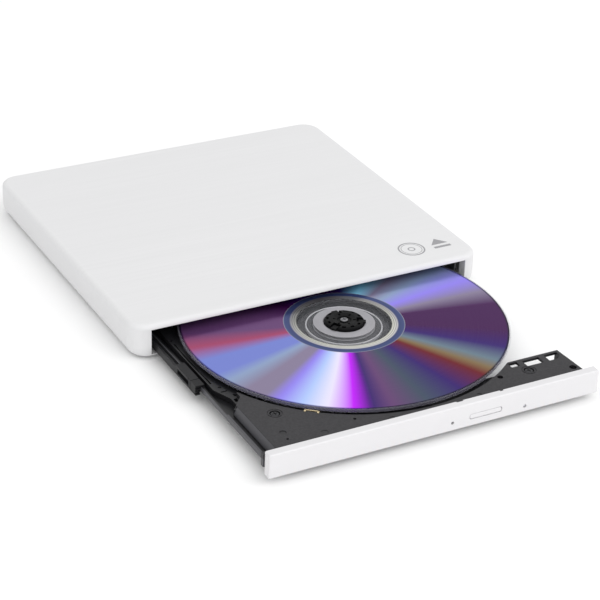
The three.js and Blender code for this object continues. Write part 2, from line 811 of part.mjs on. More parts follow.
// Plate with the flange along its left edge and an upright hook at the flange's front end
function trayBlank() {
  const outline = [
    [DECK_FOOT, TRAY_FRONT],
    [WING_FRONT_RIGHT, TRAY_FRONT],
    ...WING_CORNERS,
    [TRAY_RIGHT, TRAY_BACK],
    ...LEFT_CORNERS,
  ];
  const slope = [
    [TRAY_LEFT - CUT, FLANGE.high - 0.7],
    [DECK_FOOT - 0.1, FLANGE.high - 0.7],
    [DECK_LEFT, DECK + 0.05],
    [DECK_LEFT, DECK + CUT],
    [TRAY_LEFT - CUT, DECK + CUT],
  ];
  const made = plate(outline, TRAY_LOW, DECK);
  const sloped = made.subtract(profileAlongY(slope, TRAY_FRONT - CUT, LEDGE_CORNERS[0][1]));
  const { thick, low, high, webHigh, webRight } = FLANGE;
  const hookBack = TRAY_FRONT + HOOK.long;
  return addAll(sloped, [
    box(TRAY_LEFT, TRAY_LEFT + thick, TRAY_FRONT, TRAY_BACK, low, high),
    box(TRAY_LEFT, webRight, TRAY_FRONT, TRAY_BACK, low, webHigh),
    box(HOOK.left, HOOK.right, TRAY_FRONT, hookBack, HOOK.low, high),
    box(HOOK.left, HOOK.left + HOOK.thick, TRAY_FRONT, hookBack, HOOK.low, HOOK.high),
  ]);
}

// Spaces under the tray for the traverse, the ribbon cable, the front board and the latch
function trayUnderTools() {
  const low = TRAY_LOW - CUT;
  const clear = 0.5;
  const roof = DECK - PANEL;
  const latchY = LATCH_Y - TRAY_OUT;
  const latchLeft = LATCH_X - LATCH_ROOM.half;
  const latchFront = latchY - LATCH_ROOM.front;
  const latchBack = latchY + LATCH_ROOM.back;
  return [
    traverseTool(
      TRAVERSE_NEAR - clear,
      TRAVERSE_FAR + clear,
      -TRAVERSE_HALF - clear,
      TRAVERSE_HALF + clear,
      low,
      WELL_FLOOR + 0.05,
    ),
    box(
      RIBBON_LEFT - 1,
      RIBBON_RIGHT + 1,
      RIBBON_ROOM.front,
      TRAY_BACK + CUT,
      low,
      RIBBON_ROOM.high,
    ),
    box(FRONT_ROOM.left, FRONT_ROOM.right, TRAY_FRONT + 1, FRONT_ROOM.back, low, roof),
    box(WING_ROOM.left, WING_ROOM.right, FRONT_ROOM.back - 1, WING_BACK + CUT, low, roof),
    box(
      BUTTON_X - SWITCH_ROOM.half,
      BUTTON_X + SWITCH_ROOM.half,
      TRAY_FRONT - CUT,
      TRAY_FRONT + SWITCH_ROOM.long,
      BUTTON_Z - SWITCH_ROOM.below,
      roof,
    ),
    box(
      LAMP[0] - LAMP_ROOM.half,
      LAMP[0] + LAMP_ROOM.half,
      TRAY_FRONT - CUT,
      TRAY_FRONT + LAMP_ROOM.long,
      low,
      LAMP[1] + LAMP_ROOM.above,
    ),
    box(latchLeft, LATCH_ROOM.right, latchFront, latchBack, low, LATCH_ROOM.high),
    box(
      latchLeft,
      LATCH_X + LATCH_ROOM.half,
      latchY,
      WING_BACK + CUT,
      low,
      LATCH_ROOM.high,
    ),
  ];
}

function trayMoulding() {
  const above = DECK + CUT;
  let made = cutAll(trayBlank(), [
    post(DISC_X, DISC_Y, WELL_FLOOR, above, WELL_RADIUS, 64),
    plate(LEDGE_CORNERS, LEDGE, above),
  ]);
  for (const [x0, x1, y0, y1] of LEDGE_SLOTS) {
    made = made.subtract(box(x0, x1, y0, y1, SLOT_FLOOR, above));
  }
  made = cutAll(made, trayUnderTools());
  for (const corners of WING_WINDOWS) {
    made = made.subtract(plate(corners, TRAY_LOW - CUT, above));
  }
  for (const [x, y, radius] of WING_HOLES) {
    made = made.subtract(post(x, y, WING_HOLE_FLOOR, above, radius));
  }
  for (const [x, y, radius, deep] of DECK_HOLES) {
    made = made.subtract(post(x, y, DECK - deep, above, radius, 10));
  }
  for (const [, x, y] of TRAY_SCREW_PLACES) {
    const top = trayScrewTop(y);
    const seat = top - TRAY_SCREW_THICK - TRAY_SCREW_SUNK - GAP;
    if (x > FRONT_ROOM.left) made = made.add(post(x, y, BOSS_LOW, DECK - LAP, BOSS_RADIUS));
    made = made.subtract(post(x, y, seat, above, TRAY_SCREW_HEAD + 0.4));
    made = made.subtract(
      post(x, y, TRAY_LOW - CUT, DECK, TRAY_SCREW_SHAFT + GAP, TINY_ROUND),
    );
  }
  return made;
}

function trayUnderCover() {
  const front = TRAY_FRONT + HOOK.long + GAP;
  const [frontRight, right] = UNDER_COVER_RIGHT;
  const outline = [
    [UNDER_COVER.left, front],
    [frontRight, front],
    [right, WING_CORNERS[2][1]],
    [right, UNDER_COVER_BACK],
    [UNDER_COVER.left, UNDER_COVER_BACK],
  ];
  let made = plate(outline, UNDER_COVER.low, UNDER_COVER.high);
  for (const [, x, y] of TRAY_SCREW_PLACES) {
    const hole = post(
      x,
      y,
      UNDER_COVER.low - CUT,
      UNDER_COVER.high + CUT,
      TRAY_SCREW_SHAFT + GAP,
      TINY_ROUND,
    );
    made = made.subtract(hole);
  }
  return made;
}

function trayScrew(x, y) {
  const head = trayScrewTop(y) - TRAY_SCREW_SUNK;
  const tip = x > FRONT_ROOM.left ? BOSS_LOW - GAP : UNDER_COVER.low + LAP;
  return crossHeadScrew(
    x,
    y,
    head,
    tip,
    TRAY_SCREW_THICK,
    TRAY_SCREW_HEAD,
    TRAY_SCREW_SHAFT,
    1,
  );
}

piece(drive, "tray", "black", trayMoulding());
piece(drive, "tray_under_cover", "steel", trayUnderCover());
for (const [place, x, y] of TRAY_SCREW_PLACES) {
  piece(drive, `tray_screw_${place}`, "dark_steel", trayScrew(x, y));
}

// ---------------------------------------------------------------- bezel, button and lamp

const BEZEL_FOOT = 0.3;
const BEZEL_POCKET_LOW = BEZEL_LOW + 1;
const PINHOLE_RADIUS = 0.6;
const LAMP_RADIUS = 0.65;
const HOLE_LENGTH = 8;
// Notches in the back of the top edge: left and right end
const BEZEL_NOTCHES = [
  [8, 10.6],
  [25.2, 26.6],
];
const NOTCH_DEEP = 0.5;
const NOTCH_TALL = 0.8;
const BUTTON_COLLAR = { half: 7.4, tall: 1.5, thick: 0.6 };
const BUTTON_PLUNGER = { half: 1, low: -0.7, high: 0.6 };
const LENS_RADIUS = 0.45;
const FRONT_BOARD = { left: 12, right: 34.4, front: -83, back: -78.4, low: 4.2, high: 4.8 };
const EJECT_SWITCH = { half: 1.8, front: -82.8, back: -79, low: 5.1, high: 7 };
const LENS_BLOCK = { half: 1.2, front: 2, behind: 1.4, below: 0.5, above: 0.6 };
const LENS_SETBACK = 0.2;
const LENS_LONG = 2;

// Level outline of the bezel, drawn in all round except at its back
function bezelRing(inset, z) {
  const half = BEZEL_HALF - inset;
  const front = BEZEL_FRONT + inset;
  const ring = [[half, BEZEL_BACK, z], [-half, BEZEL_BACK, z]];
  const steps = 4;
  for (const [cx, start] of [[-half + BEZEL_CORNER, 180], [half - BEZEL_CORNER, 270]]) {
    for (let i = 0; i <= steps; i += 1) {
      const angle = ((start + (90 * i) / steps) * Math.PI) / 180;
      const x = cx + BEZEL_CORNER * Math.cos(angle);
      ring.push([x, front + BEZEL_CORNER * (1 + Math.sin(angle)), z]);
    }
  }
  return ring;
}

function bezel() {
  let made = stack([
    bezelRing(BEZEL_FOOT, BEZEL_LOW),
    bezelRing(0, BEZEL_LOW + BEZEL_FOOT),
    bezelRing(0, BEZEL_HIGH - BEZEL_BEVEL),
    bezelRing(BEZEL_BEVEL, BEZEL_HIGH),
  ]);
  const pocket = box(
    -BEZEL_HALF + 2,
    BEZEL_HALF - 2,
    BEZEL_FRONT + BEZEL_WALL,
    BEZEL_BACK + CUT,
    BEZEL_POCKET_LOW,
    BEZEL_POCKET_TOP,
  );
  made = made.subtract(pocket);
  made = made.subtract(
    bar("y", PINHOLE[0], BEZEL_FRONT, PINHOLE[1], HOLE_LENGTH, PINHOLE_RADIUS, 10),
  );
  made = made.subtract(bar("y", LAMP[0], BEZEL_FRONT, LAMP[1], HOLE_LENGTH, LAMP_RADIUS, 10));
  for (const [left, right] of BEZEL_NOTCHES) {
    const top = BEZEL_HIGH + CUT;
    const notchFront = BEZEL_BACK - NOTCH_DEEP;
    made = made.subtract(
      box(left, right, notchFront, BEZEL_BACK + CUT, BEZEL_HIGH - NOTCH_TALL, top),
    );
  }
  const slot = box(
    BUTTON_X - BUTTON_HALF - LAP,
    BUTTON_X + BUTTON_HALF + LAP,
    BEZEL_FRONT - CUT,
    BEZEL_BACK,
    BUTTON_Z - BUTTON_TALL - LAP,
    BUTTON_Z + BUTTON_TALL + LAP,
  );
  return made.subtract(slot);
}

function ejectButton() {
  const cap = box(
    BUTTON_X - BUTTON_HALF,
    BUTTON_X + BUTTON_HALF,
    BEZEL_FRONT,
    BEZEL_FRONT + BEZEL_WALL + GAP + 0.1,
    BUTTON_Z - BUTTON_TALL,
    BUTTON_Z + BUTTON_TALL,
  );
  const collarFront = BEZEL_FRONT + BEZEL_WALL + GAP;
  const collar = box(
    BUTTON_X - BUTTON_COLLAR.half,
    BUTTON_X + BUTTON_COLLAR.half,
    collarFront,
    collarFront + BUTTON_COLLAR.thick,
    BUTTON_Z - BUTTON_COLLAR.tall,
    BUTTON_Z + BUTTON_COLLAR.tall,
  );
  const plunger = box(
    BUTTON_X - BUTTON_PLUNGER.half,
    BUTTON_X + BUTTON_PLUNGER.half,
    collarFront + BUTTON_COLLAR.thick - 0.1,
    TRAY_FRONT + 0.6,
    BUTTON_Z + BUTTON_PLUNGER.low,
    BUTTON_Z + BUTTON_PLUNGER.high,
  );
  return addAll(cap, [collar, plunger]);
}

// Round lens in the bezel's lamp hole, with a block behind it that reaches the front board
function lampLens() {
  const [x, z] = LAMP;
  const middle = BEZEL_FRONT + LENS_SETBACK + LENS_LONG / 2;
  const round = bar("y", x, middle, z, LENS_LONG, LENS_RADIUS, 10);
  const block = LENS_BLOCK;
  return round.add(
    box(
      x - block.half,
      x + block.half,
      BEZEL_FRONT + block.front,
      TRAY_FRONT + block.behind,
      z - block.below,
      z + block.above,
    ),
  );
}

function frontBoard() {
  const { left, right, front, back, low, high } = FRONT_BOARD;
  return box(left, right, front, back, low, high);
}

function ejectSwitch() {
  const { half, front, back, low, high } = EJECT_SWITCH;
  return box(BUTTON_X - half, BUTTON_X + half, front, back, low, high);
}

piece(drive, "bezel", "gloss_white", bezel());
piece(drive, "eject_button", "gloss_white", ejectButton());
piece(drive, "lamp_lens", "lens", lampLens());
piece(drive, "front_board", "green", frontBoard());
piece(drive, "eject_switch", "steel", ejectSwitch());

// ---------------------------------------------------------------- latch that holds the tray shut

const PIVOT_X = 39.8;
const PIVOT_Y = -81.4;
const LEVER_LOW = 5.5;
const LEVER_HIGH = 6.3;
const LEVER_EYE = 0.6;
const PIN = { radius: 0.45, low: 4.4, high: 7.1 };
const MAGNET = { left: 23.6, right: 30, front: -82, back: -77.8, low: 5.1, high: 7 };
const PLUNGER = { x: 34.3, y: -79.6, long: 8, radius: 0.5 };

// The hook's nose stands behind the latch post when the tray is shut
function latchLever() {
  const nose = LATCH_Y - TRAY_OUT + LATCH_RADIUS + GAP;
  const outline = [
    [PIVOT_X - 1.2, PIVOT_Y - 1.2],
    [PIVOT_X + 1.2, PIVOT_Y - 1.2],
    [PIVOT_X + 0.9, nose + 1.2],
    [LATCH_X + 0.9, nose + 1.2],
    [LATCH_X - 0.4, nose],
    [PIVOT_X - 0.9, nose],
  ];
  const eye = post(PIVOT_X, PIVOT_Y, LEVER_LOW - CUT, LEVER_HIGH + CUT, LEVER_EYE, TINY_ROUND);
  return plate(outline, LEVER_LOW, LEVER_HIGH).subtract(eye);
}

piece(drive, "latch_lever", "black", latchLever());
piece(
  drive,
  "latch_pin",
  "steel",
  post(PIVOT_X, PIVOT_Y, PIN.low, PIN.high, PIN.radius, TINY_ROUND),
);
piece(
  drive,
  "latch_magnet",
  "brass",
  box(MAGNET.left, MAGNET.right, MAGNET.front, MAGNET.back, MAGNET.low, MAGNET.high),
);
const plungerZ = (LEVER_LOW + LEVER_HIGH) / 2;
piece(
  drive,
  "latch_plunger",
  "steel",
  bar("x", PLUNGER.x, PLUNGER.y, plungerZ, PLUNGER.long, PLUNGER.radius, TINY_ROUND),
);

// ---------------------------------------------------------------- traverse, in its own frame

const ROD_START = 13;
const ROD_END = 64;
const ROD_CLEAR = 0.15;
const ROD_SIDES = 10;
const MOTOR_HOLE = 9.5;
const DAMPER_HOLE = 2.2;
const DAMPER = { radius: 1.9, low: 4.6, high: 5.9 };
const DAMPER_PLACES = [
  ["near_left", -10.5, -11],
  ["near_right", -10.5, 11],
  ["middle", 10.4, 14],
];
const SLED_LOW = 4;
const SLED_HIGH = 6;
const SLED_SIDE = 1.1;
const LENS_ROOM = { x: 3, y: 3.5, low: 4.8 };
const LENS = { radius: 2.2, topRadius: 1.8, low: 5.3, high: 6.5 };
const LEAD_SCREW_START = 18.6;
const SLED_MOTOR = [9.6, 18.2, -16.6, -13.6, 3.95, 4.75];
const EDGE_CLIP = [61.8, 64.8, 4, 7, 6.2, 6.5];

function traversePlate() {
  const made = box(
    TRAVERSE_NEAR,
    TRAVERSE_FAR,
    -TRAVERSE_HALF,
    TRAVERSE_HALF,
    TRAVERSE_LOW,
    TRAVERSE_HIGH,
  );
  const low = TRAVERSE_LOW - CUT;
  const high = TRAVERSE_HIGH + CUT;
  const middle = (ROD_START + ROD_END) / 2;
  const length = ROD_END - ROD_START + 2 * GAP;
  const wayNear = -SCREW_OFFSET - 1.2;
  const wayFar = ROD_OFFSET + 1.4;
  const screwBore = SCREW_RADIUS + ROD_CLEAR;
  const rodBore = ROD_RADIUS + ROD_CLEAR;
  const cuts = [
    post(0, 0, low, high, MOTOR_HOLE, ROUND),
    box(SLED_WAY_NEAR, SLED_WAY_FAR, wayNear, wayFar, low, high),
    bar("x", middle, -SCREW_OFFSET, ROD_Z, length, screwBore, ROD_SIDES),
  ];
  for (const side of [-1, 1]) {
    cuts.push(bar("x", middle, side * ROD_OFFSET, ROD_Z, length, rodBore, ROD_SIDES));
  }
  for (const [, x, y] of DAMPER_PLACES) cuts.push(post(x, y, low, high, DAMPER_HOLE));
  return cutAll(made, cuts);
}

function sled() {
  const far = SLED_NEAR + SLED_LENGTH;
  const middle = SLED_NEAR + SLED_LENGTH / 2;
  const arm = ROD_OFFSET + SLED_SIDE;
  const bore = ROD_RADIUS + 0.1;
  let made = box(SLED_NEAR, far, -arm + 0.4, arm, SLED_LOW, SLED_HIGH);
  for (const side of [-1, 1]) {
    const way = bar("x", middle, side * ROD_OFFSET, ROD_Z, 2.5 * SLED_LENGTH, bore, ROD_SIDES);
    made = made.subtract(way);
  }
  const lens = SLED_NEAR + LENS_OFFSET;
  const { x, y, low } = LENS_ROOM;
  return made.subtract(box(lens - x, lens + x, -y, y, low, SLED_HIGH + CUT));
}

piece(traverse, "traverse_plate", "dark_steel", traversePlate());
for (const [place, x, y] of DAMPER_PLACES) {
  const damper = post(x, y, DAMPER.low, DAMPER.high, DAMPER.radius);
  piece(traverse, `damper_${place}`, "rubber", damper);
}
for (const [side, y] of [["left", -ROD_OFFSET], ["right", ROD_OFFSET]]) {
  const middle = (ROD_START + ROD_END) / 2;
  const rod = bar("x", middle, y, ROD_Z, ROD_END - ROD_START, ROD_RADIUS, ROD_SIDES);
  piece(traverse, `guide_rod_${side}`, "steel", rod);
}
const screwLength = ROD_END - LEAD_SCREW_START - 0.4;
const screwMiddle = LEAD_SCREW_START + screwLength / 2;
piece(
  traverse,
  "lead_screw",
  "steel",
  bar("x", screwMiddle, -SCREW_OFFSET, ROD_Z, screwLength, SCREW_RADIUS, ROD_SIDES),
);
piece(traverse, "sled_motor", "steel", box(...SLED_MOTOR));
piece(traverse, "pickup_sled", "black", sled());
const lensX = SLED_NEAR + LENS_OFFSET;
piece(
  traverse,
  "objective_lens",
  "lens",
  post(lensX, 0, LENS.low, LENS.high, LENS.radius, 16, LENS.topRadius),
);
piece(traverse, "disc_edge_clip", "brass", box(...EDGE_CLIP));

// ---------------------------------------------------------------- spindle and disc

const CHUCK_NOTCHES = 3;
const CHUCK_LOW = 6.2;
const TURNTABLE_HIGH = 7.4;
const NOTCH = { out: 6.9, long: 5, wide: 3.2, tall: 2 };
const CLAW = { near: 5.2, far: 7.9, wide: 2.4, tall: 0.6 };
const CHUCK_CUP = { radius: 2.6, deep: 1 };
const CHUCK_SCREW = { radius: 1.5, low: -0.7, high: -0.2 };
const MOTOR = { radius: 9, low: 3.95, high: 5.7 };
const DISC_SIDES = 72;

// Angle of a notch or claw, in radians
function clawAngle(index) {
  return ((90 + (360 / CHUCK_NOTCHES) * index) * Math.PI) / 180;
}

function chuck() {
  const cup = CHUCK_CUP;
  let made = post(0, 0, CHUCK_LOW, CHUCK_TOP, CHUCK_RADIUS, ROUND);
  made = made.add(post(0, 0, CHUCK_LOW, TURNTABLE_HIGH, TURNTABLE_RADIUS, 32));
  made = made.subtract(post(0, 0, CHUCK_TOP - cup.deep, CHUCK_TOP + CUT, cup.radius));
  for (let i = 0; i < CHUCK_NOTCHES; i += 1) {
    const notch = new THREE.BoxGeometry(NOTCH.long, NOTCH.wide, NOTCH.tall);
    notch.translate(NOTCH.out, 0, CHUCK_TOP);
    notch.rotateZ(clawAngle(i));
    made = made.subtract(solid(notch));
  }
  return made;
}

function claw(index) {
  const { near, far, wide, tall } = CLAW;
  const geometry = new THREE.BoxGeometry(far - near, wide, tall);
  geometry.translate((far + near) / 2, 0, DISC_TOP + GAP + tall / 2);
  geometry.rotateZ(clawAngle(index));
  return solid(geometry);
}

function disc() {
  const low = DISC_TOP - DISC_THICK;
  const whole = post(0, 0, low, DISC_TOP, DISC_RADIUS, DISC_SIDES);
  return whole.subtract(post(0, 0, low - CUT, DISC_TOP + CUT, DISC_HOLE, ROUND));
}

piece(spindle, "spindle_motor", "steel", post(0, 0, MOTOR.low, MOTOR.high, MOTOR.radius, ROUND));
piece(spindle, "turntable", "black", chuck());
for (let i = 0; i < CHUCK_NOTCHES; i += 1) {
  piece(spindle, `chuck_claw_${i + 1}`, "black", claw(i));
}
const chuckScrewLow = CHUCK_TOP + CHUCK_SCREW.low;
const chuckScrewHigh = CHUCK_TOP + CHUCK_SCREW.high;
piece(
  spindle,
  "chuck_screw",
  "steel",
  post(0, 0, chuckScrewLow, chuckScrewHigh, CHUCK_SCREW.radius),
);
piece(spindle, "disc", "disc", disc());

export default drive;
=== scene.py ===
"""Looks for the slim external optical drive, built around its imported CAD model.

Shapes are made in millimetres, with x to the right, y to the back and z up. Every y is counted from
the case's front face, as TO_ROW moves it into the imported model's frame.
"""
import math

import bmesh
import bpy
from mathutils import Matrix, Vector

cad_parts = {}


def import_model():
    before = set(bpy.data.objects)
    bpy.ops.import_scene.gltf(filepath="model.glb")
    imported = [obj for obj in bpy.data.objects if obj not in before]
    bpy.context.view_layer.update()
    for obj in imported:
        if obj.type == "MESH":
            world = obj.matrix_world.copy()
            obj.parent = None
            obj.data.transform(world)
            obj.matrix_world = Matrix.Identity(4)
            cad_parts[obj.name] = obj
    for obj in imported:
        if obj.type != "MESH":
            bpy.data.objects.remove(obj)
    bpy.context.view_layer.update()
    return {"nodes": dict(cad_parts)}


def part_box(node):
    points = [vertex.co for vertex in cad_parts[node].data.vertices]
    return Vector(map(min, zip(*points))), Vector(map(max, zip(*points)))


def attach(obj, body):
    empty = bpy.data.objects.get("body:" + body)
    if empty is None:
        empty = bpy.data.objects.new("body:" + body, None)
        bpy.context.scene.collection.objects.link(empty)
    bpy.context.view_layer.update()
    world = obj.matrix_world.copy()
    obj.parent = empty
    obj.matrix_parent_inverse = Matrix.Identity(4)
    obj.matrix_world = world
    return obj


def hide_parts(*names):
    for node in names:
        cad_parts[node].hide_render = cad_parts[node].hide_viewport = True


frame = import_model()
nodes = frame["nodes"]

MM = 0.001
CASE_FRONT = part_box("top_cover")[0].y / MM


def span(node):
    """Lowest and highest corner of a CAD node, in millimetres, y from the case's front face."""
    low, high = (Vector(corner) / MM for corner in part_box(node))
    low.y -= CASE_FRONT
    high.y -= CASE_FRONT
    return low, high


# ------------------------------------------------------------------ shapes


def loft(rings):
    """Closed solid through level outlines with the same number of points, lowest first."""
    bm = bmesh.new()
    loops = [[bm.verts.new(point) for point in ring] for ring in rings]
    count = len(loops[0])
    for lower, upper in zip(loops, loops[1:]):
        for i in range(count):
            j = (i + 1) % count
            bm.faces.new((lower[i], lower[j], upper[j], upper[i]))
    bm.faces.new(list(reversed(loops[0])))
    bm.faces.new(loops[-1])
    return bm


def rounded(x0, x1, y0, y1, radius, z, steps=12):
    """Level outline of a rectangle with rounded corners."""
    ring = []
    corners = (
        (x1 - radius, y0 + radius, -90),
        (x1 - radius, y1 - radius, 0),
        (x0 + radius, y1 - radius, 90),
        (x0 + radius, y0 + radius, 180),
    )
    for cx, cy, start in corners:
        for i in range(steps + 1):
            angle = math.radians(start + 90 * i / steps)
            ring.append((cx + radius * math.cos(angle), cy + radius * math.sin(angle), z))
    return ring


def lathe(profile, steps=64, x=0.0, y=0.0):
    """Solid turned about an upright axis. A profile that starts at radius 0 also ends there."""
    bm = bmesh.new()
    solid = profile[0][0] == 0
    rows = profile[1:-1] if solid else profile
    loops = []
    for radius, z in rows:
        loop = []
        for i in range(steps):
            angle = 2 * math.pi * i / steps
            loop.append(bm.verts.new((x + radius * math.cos(angle), y + radius * math.sin(angle), z)))
        loops.append(loop)
    pairs = list(zip(loops, loops[1:]))
    if not solid:
        pairs.append((loops[-1], loops[0]))
    for lower, upper in pairs:
        for i in range(steps):
            j = (i + 1) % steps
            bm.faces.new((lower[i], lower[j], upper[j], upper[i]))
    if solid:
        for end, loop in ((profile[0], loops[0]), (profile[-1], loops[-1])):
            pole = bm.verts.new((x, y, end[1]))
            for i in range(steps):
                bm.faces.new((loop[i], pole, loop[(i + 1) % steps]))
    bmesh.ops.recalc_face_normals(bm, faces=bm.faces)
    return bm


def prism(corners, z0, z1):
    """Upright solid with the outline of a list of (x, y) corners."""
    return loft([[(x, y, z) for x, y in corners] for z in (z0, z1)])


def block(x0, x1, y0, y1, z0, z1, radius=0.0, segments=2):
    """Box, with all its edges rounded when a radius is given."""
    bm = prism([(x0, y0), (x1, y0), (x1, y1), (x0, y1)], z0, z1)
    if radius:
        bmesh.ops.bevel(bm, geom=bm.edges[:], offset=radius, segments=segments, profile=0.5, affect="EDGES")
    bmesh.ops.recalc_face_normals(bm, faces=bm.faces)
    return bm


def drum(x, y, z0, z1, radius, steps=32, edge=0.0):
    """Upright cylinder, with its top and bottom edges rounded when edge is given."""
    if not edge:
        return lathe([(0, z0), (radius, z0), (radius, z1), (0, z1)], steps, x, y)
    profile = [(0, z0)]
    for centre_z, start in ((z0 + edge, -90), (z1 - edge, 0)):
        for i in range(4):
            angle = math.radians(start + 30 * i)
            profile.append((radius - edge + edge * math.cos(angle), centre_z + edge * math.sin(angle)))
    profile.append((0, z1))
    return lathe(profile, steps, x, y)


def turned(bm, matrix):
    bmesh.ops.transform(bm, matrix=matrix, verts=bm.verts)
    return bm


def lying(x, y, z, length, radius, steps=24):
    """Cylinder along Y, given by its middle."""
    bm = drum(0, 0, -length / 2, length / 2, radius, steps)
    return turned(bm, Matrix.Translation((x, y, z)) @ Matrix.Rotation(math.pi / 2, 4, "X"))


def join(parts):
    """One bmesh that holds all the given ones."""
    whole = parts[0]
    for part in parts[1:]:
        mesh = bpy.data.meshes.new("join")
        part.to_mesh(mesh)
        part.free()
        whole.from_mesh(mesh)
        bpy.data.meshes.remove(mesh)
    return whole


def helper_object(bm):
    mesh = bpy.data.meshes.new("helper")
    bmesh.ops.recalc_face_normals(bm, faces=bm.faces)
    bm.to_mesh(mesh)
    bm.free()
    obj = bpy.data.objects.new("helper", mesh)
    bpy.context.scene.collection.objects.link(obj)
    return obj


def carve(base, *groups):
    """base with each group of tools cut out of it in turn. A group's tools don't touch each other."""
    target = helper_object(base)
    helpers = []
    for group in groups:
        tool = helper_object(join(list(group)))
        cut = target.modifiers.new("cut", "BOOLEAN")
        cut.operation = "DIFFERENCE"
        cut.solver = "EXACT"
        cut.object = tool
        helpers.append(tool)
    bpy.context.view_layer.update()
    result = bmesh.new()
    result.from_object(target, bpy.context.evaluated_depsgraph_get())
    for obj in [target] + helpers:
        mesh = obj.data
        bpy.data.objects.remove(obj)
        bpy.data.meshes.remove(mesh)
    bmesh.ops.remove_doubles(result, verts=result.verts, dist=0.002)
    bmesh.ops.dissolve_limit(result, angle_limit=0.01, verts=result.verts, edges=result.edges)
    return result


TO_ROW = Matrix.Translation((0, CASE_FRONT * MM, 0)) @ Matrix.Diagonal((MM, MM, MM, 1))


def piece(name, bm, body, material, replaces=(), bevel=0.0, sharp=32):
    """Puts a finished shape into the scene, on its body."""
    turned(bm, TO_ROW)
    bmesh.ops.recalc_face_normals(bm, faces=bm.faces)
    mesh = bpy.data.meshes.new(name)
    bm.to_mesh(mesh)
    bm.free()
    for polygon in mesh.polygons:
        polygon.use_smooth = True
    mesh.set_sharp_from_angle(angle=math.radians(sharp))
    obj = bpy.data.objects.new(name, mesh)
    bpy.context.scene.collection.objects.link(obj)
    for each in material if isinstance(material, (list, tuple)) else [material]:
        mesh.materials.append(each)
    if bevel:
        round_edges(obj, bevel)
    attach(obj, body)
    if replaces:
        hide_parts(*replaces)
    return obj


def round_edges(obj, width):
    bevel = obj.modifiers.new("round", "BEVEL")
    bevel.width = width * MM
    bevel.segments = 2
    bevel.limit_method = "ANGLE"
    bevel.angle_limit = math.radians(30)
    bevel.harden_normals = True
    weight = obj.modifiers.new("weight", "WEIGHTED_NORMAL")
    weight.keep_sharp = True


# ------------------------------------------------------------------ materials


class Surface:
    """A node material under construction. Textures read the piece's own coordinates, in metres."""

    def __init__(self, name, colour, roughness, metallic=0.0, specular=0.5):
        self.material = bpy.data.materials.new(name)
        self.material.use_nodes = True
        self.tree = self.material.node_tree
        self.shader = self.tree.nodes["Principled BSDF"]
        self.material.diffuse_color = (*colour, 1)
        self.shader.inputs["Base Color"].default_value = (*colour, 1)
        self.shader.inputs["Roughness"].default_value = roughness
        self.shader.inputs["Metallic"].default_value = metallic
        self.shader.inputs["Specular IOR Level"].default_value = specular
        self.colour = colour
        self.roughness = roughness
        self.coordinates = self.add("ShaderNodeTexCoord").outputs["Object"]
        self.bump_from = None

    def add(self, kind, **settings):
        node = self.tree.nodes.new(kind)
        for key, value in settings.items():
            setattr(node, key, value)
        return node

    def link(self, source, target):
        self.tree.links.new(source, target)

    def stretched(self, scale, shift=(0, 0, 0)):
        mapping = self.add("ShaderNodeMapping")
        mapping.inputs["Scale"].default_value = scale
        mapping.inputs["Location"].default_value = shift
        self.link(self.coordinates, mapping.inputs["Vector"])
        return mapping.outputs["Vector"]

    def noise(self, scale, detail=3.0, vector=None, roughness=0.5):
        noise = self.add("ShaderNodeTexNoise")
        noise.inputs["Scale"].default_value = scale
        noise.inputs["Detail"].default_value = detail
        noise.inputs["Roughness"].default_value = roughness
        self.link(vector or self.coordinates, noise.inputs["Vector"])
        return noise.outputs["Fac"]

    def remap(self, value, low, high, from_low=0.3, from_high=0.7):
        node = self.add("ShaderNodeMapRange")
        node.inputs["From Min"].default_value = from_low
        node.inputs["From Max"].default_value = from_high
        node.inputs["To Min"].default_value = low
        node.inputs["To Max"].default_value = high
        self.link(value, node.inputs["Value"])
        return node.outputs["Result"]

    def maths(self, operation, first, second=None):
        node = self.add("ShaderNodeMath", operation=operation)
        for socket, value in zip(node.inputs, (first, second)):
            if value is None:
                continue
            if isinstance(value, (int, float)):
                socket.default_value = value
            else:
                self.link(value, socket)
        return node.outputs["Value"]

    def mix(self, factor, first, second, blend="MIX"):
        node = self.add("ShaderNodeMix", data_type="RGBA", blend_type=blend)
        for name, value in (("Factor", factor), ("A", first), ("B", second)):
            self.put(value, node.inputs[name])
        return node.outputs["Result"]

    def put(self, value, socket):
        if isinstance(value, bpy.types.NodeSocket):
            self.link(value, socket)
        elif isinstance(value, tuple):
            socket.default_value = (*value, 1)
        else:
            socket.default_value = value

    def ramp(self, value, stops):
        node = self.add("ShaderNodeValToRGB")
        ramp = node.color_ramp
        while len(ramp.elements) > 1:
            ramp.elements.remove(ramp.elements[-1])
        for i, (place, colour) in enumerate(stops):
            element = ramp.elements[0] if i == 0 else ramp.elements.new(place)
            element.position = place
            element.color = (*colour, 1)
        self.link(value, node.inputs["Fac"])
        return node.outputs["Color"]

    def set_colour(self, value):
        self.link(value, self.shader.inputs["Base Color"])

    def set_roughness(self, value):
        self.link(value, self.shader.inputs["Roughness"])

    def bump(self, height, strength, distance):
        node = self.add("ShaderNodeBump")
        node.inputs["Strength"].default_value = strength
        node.inputs["Distance"].default_value = distance * MM
        self.link(height, node.inputs["Height"])
        if self.bump_from:
            self.link(self.bump_from, node.inputs["Normal"])
        self.bump_from = node.outputs["Normal"]
        self.link(self.bump_from, self.shader.inputs["Normal"])

    def vary(self, amount, scale, spread=0.04):
        """Broad, faint unevenness in tone and gloss."""
        cloud = self.noise(scale, 4.0)
        darker = tuple(channel * (1 - amount) for channel in self.colour)
        self.set_colour(self.mix(self.remap(cloud, 0, 1), darker, self.colour))
        rough = self.noise(scale * 2.3, 3.0)
        self.set_roughness(self.remap(rough, self.roughness - spread, self.roughness + spread))


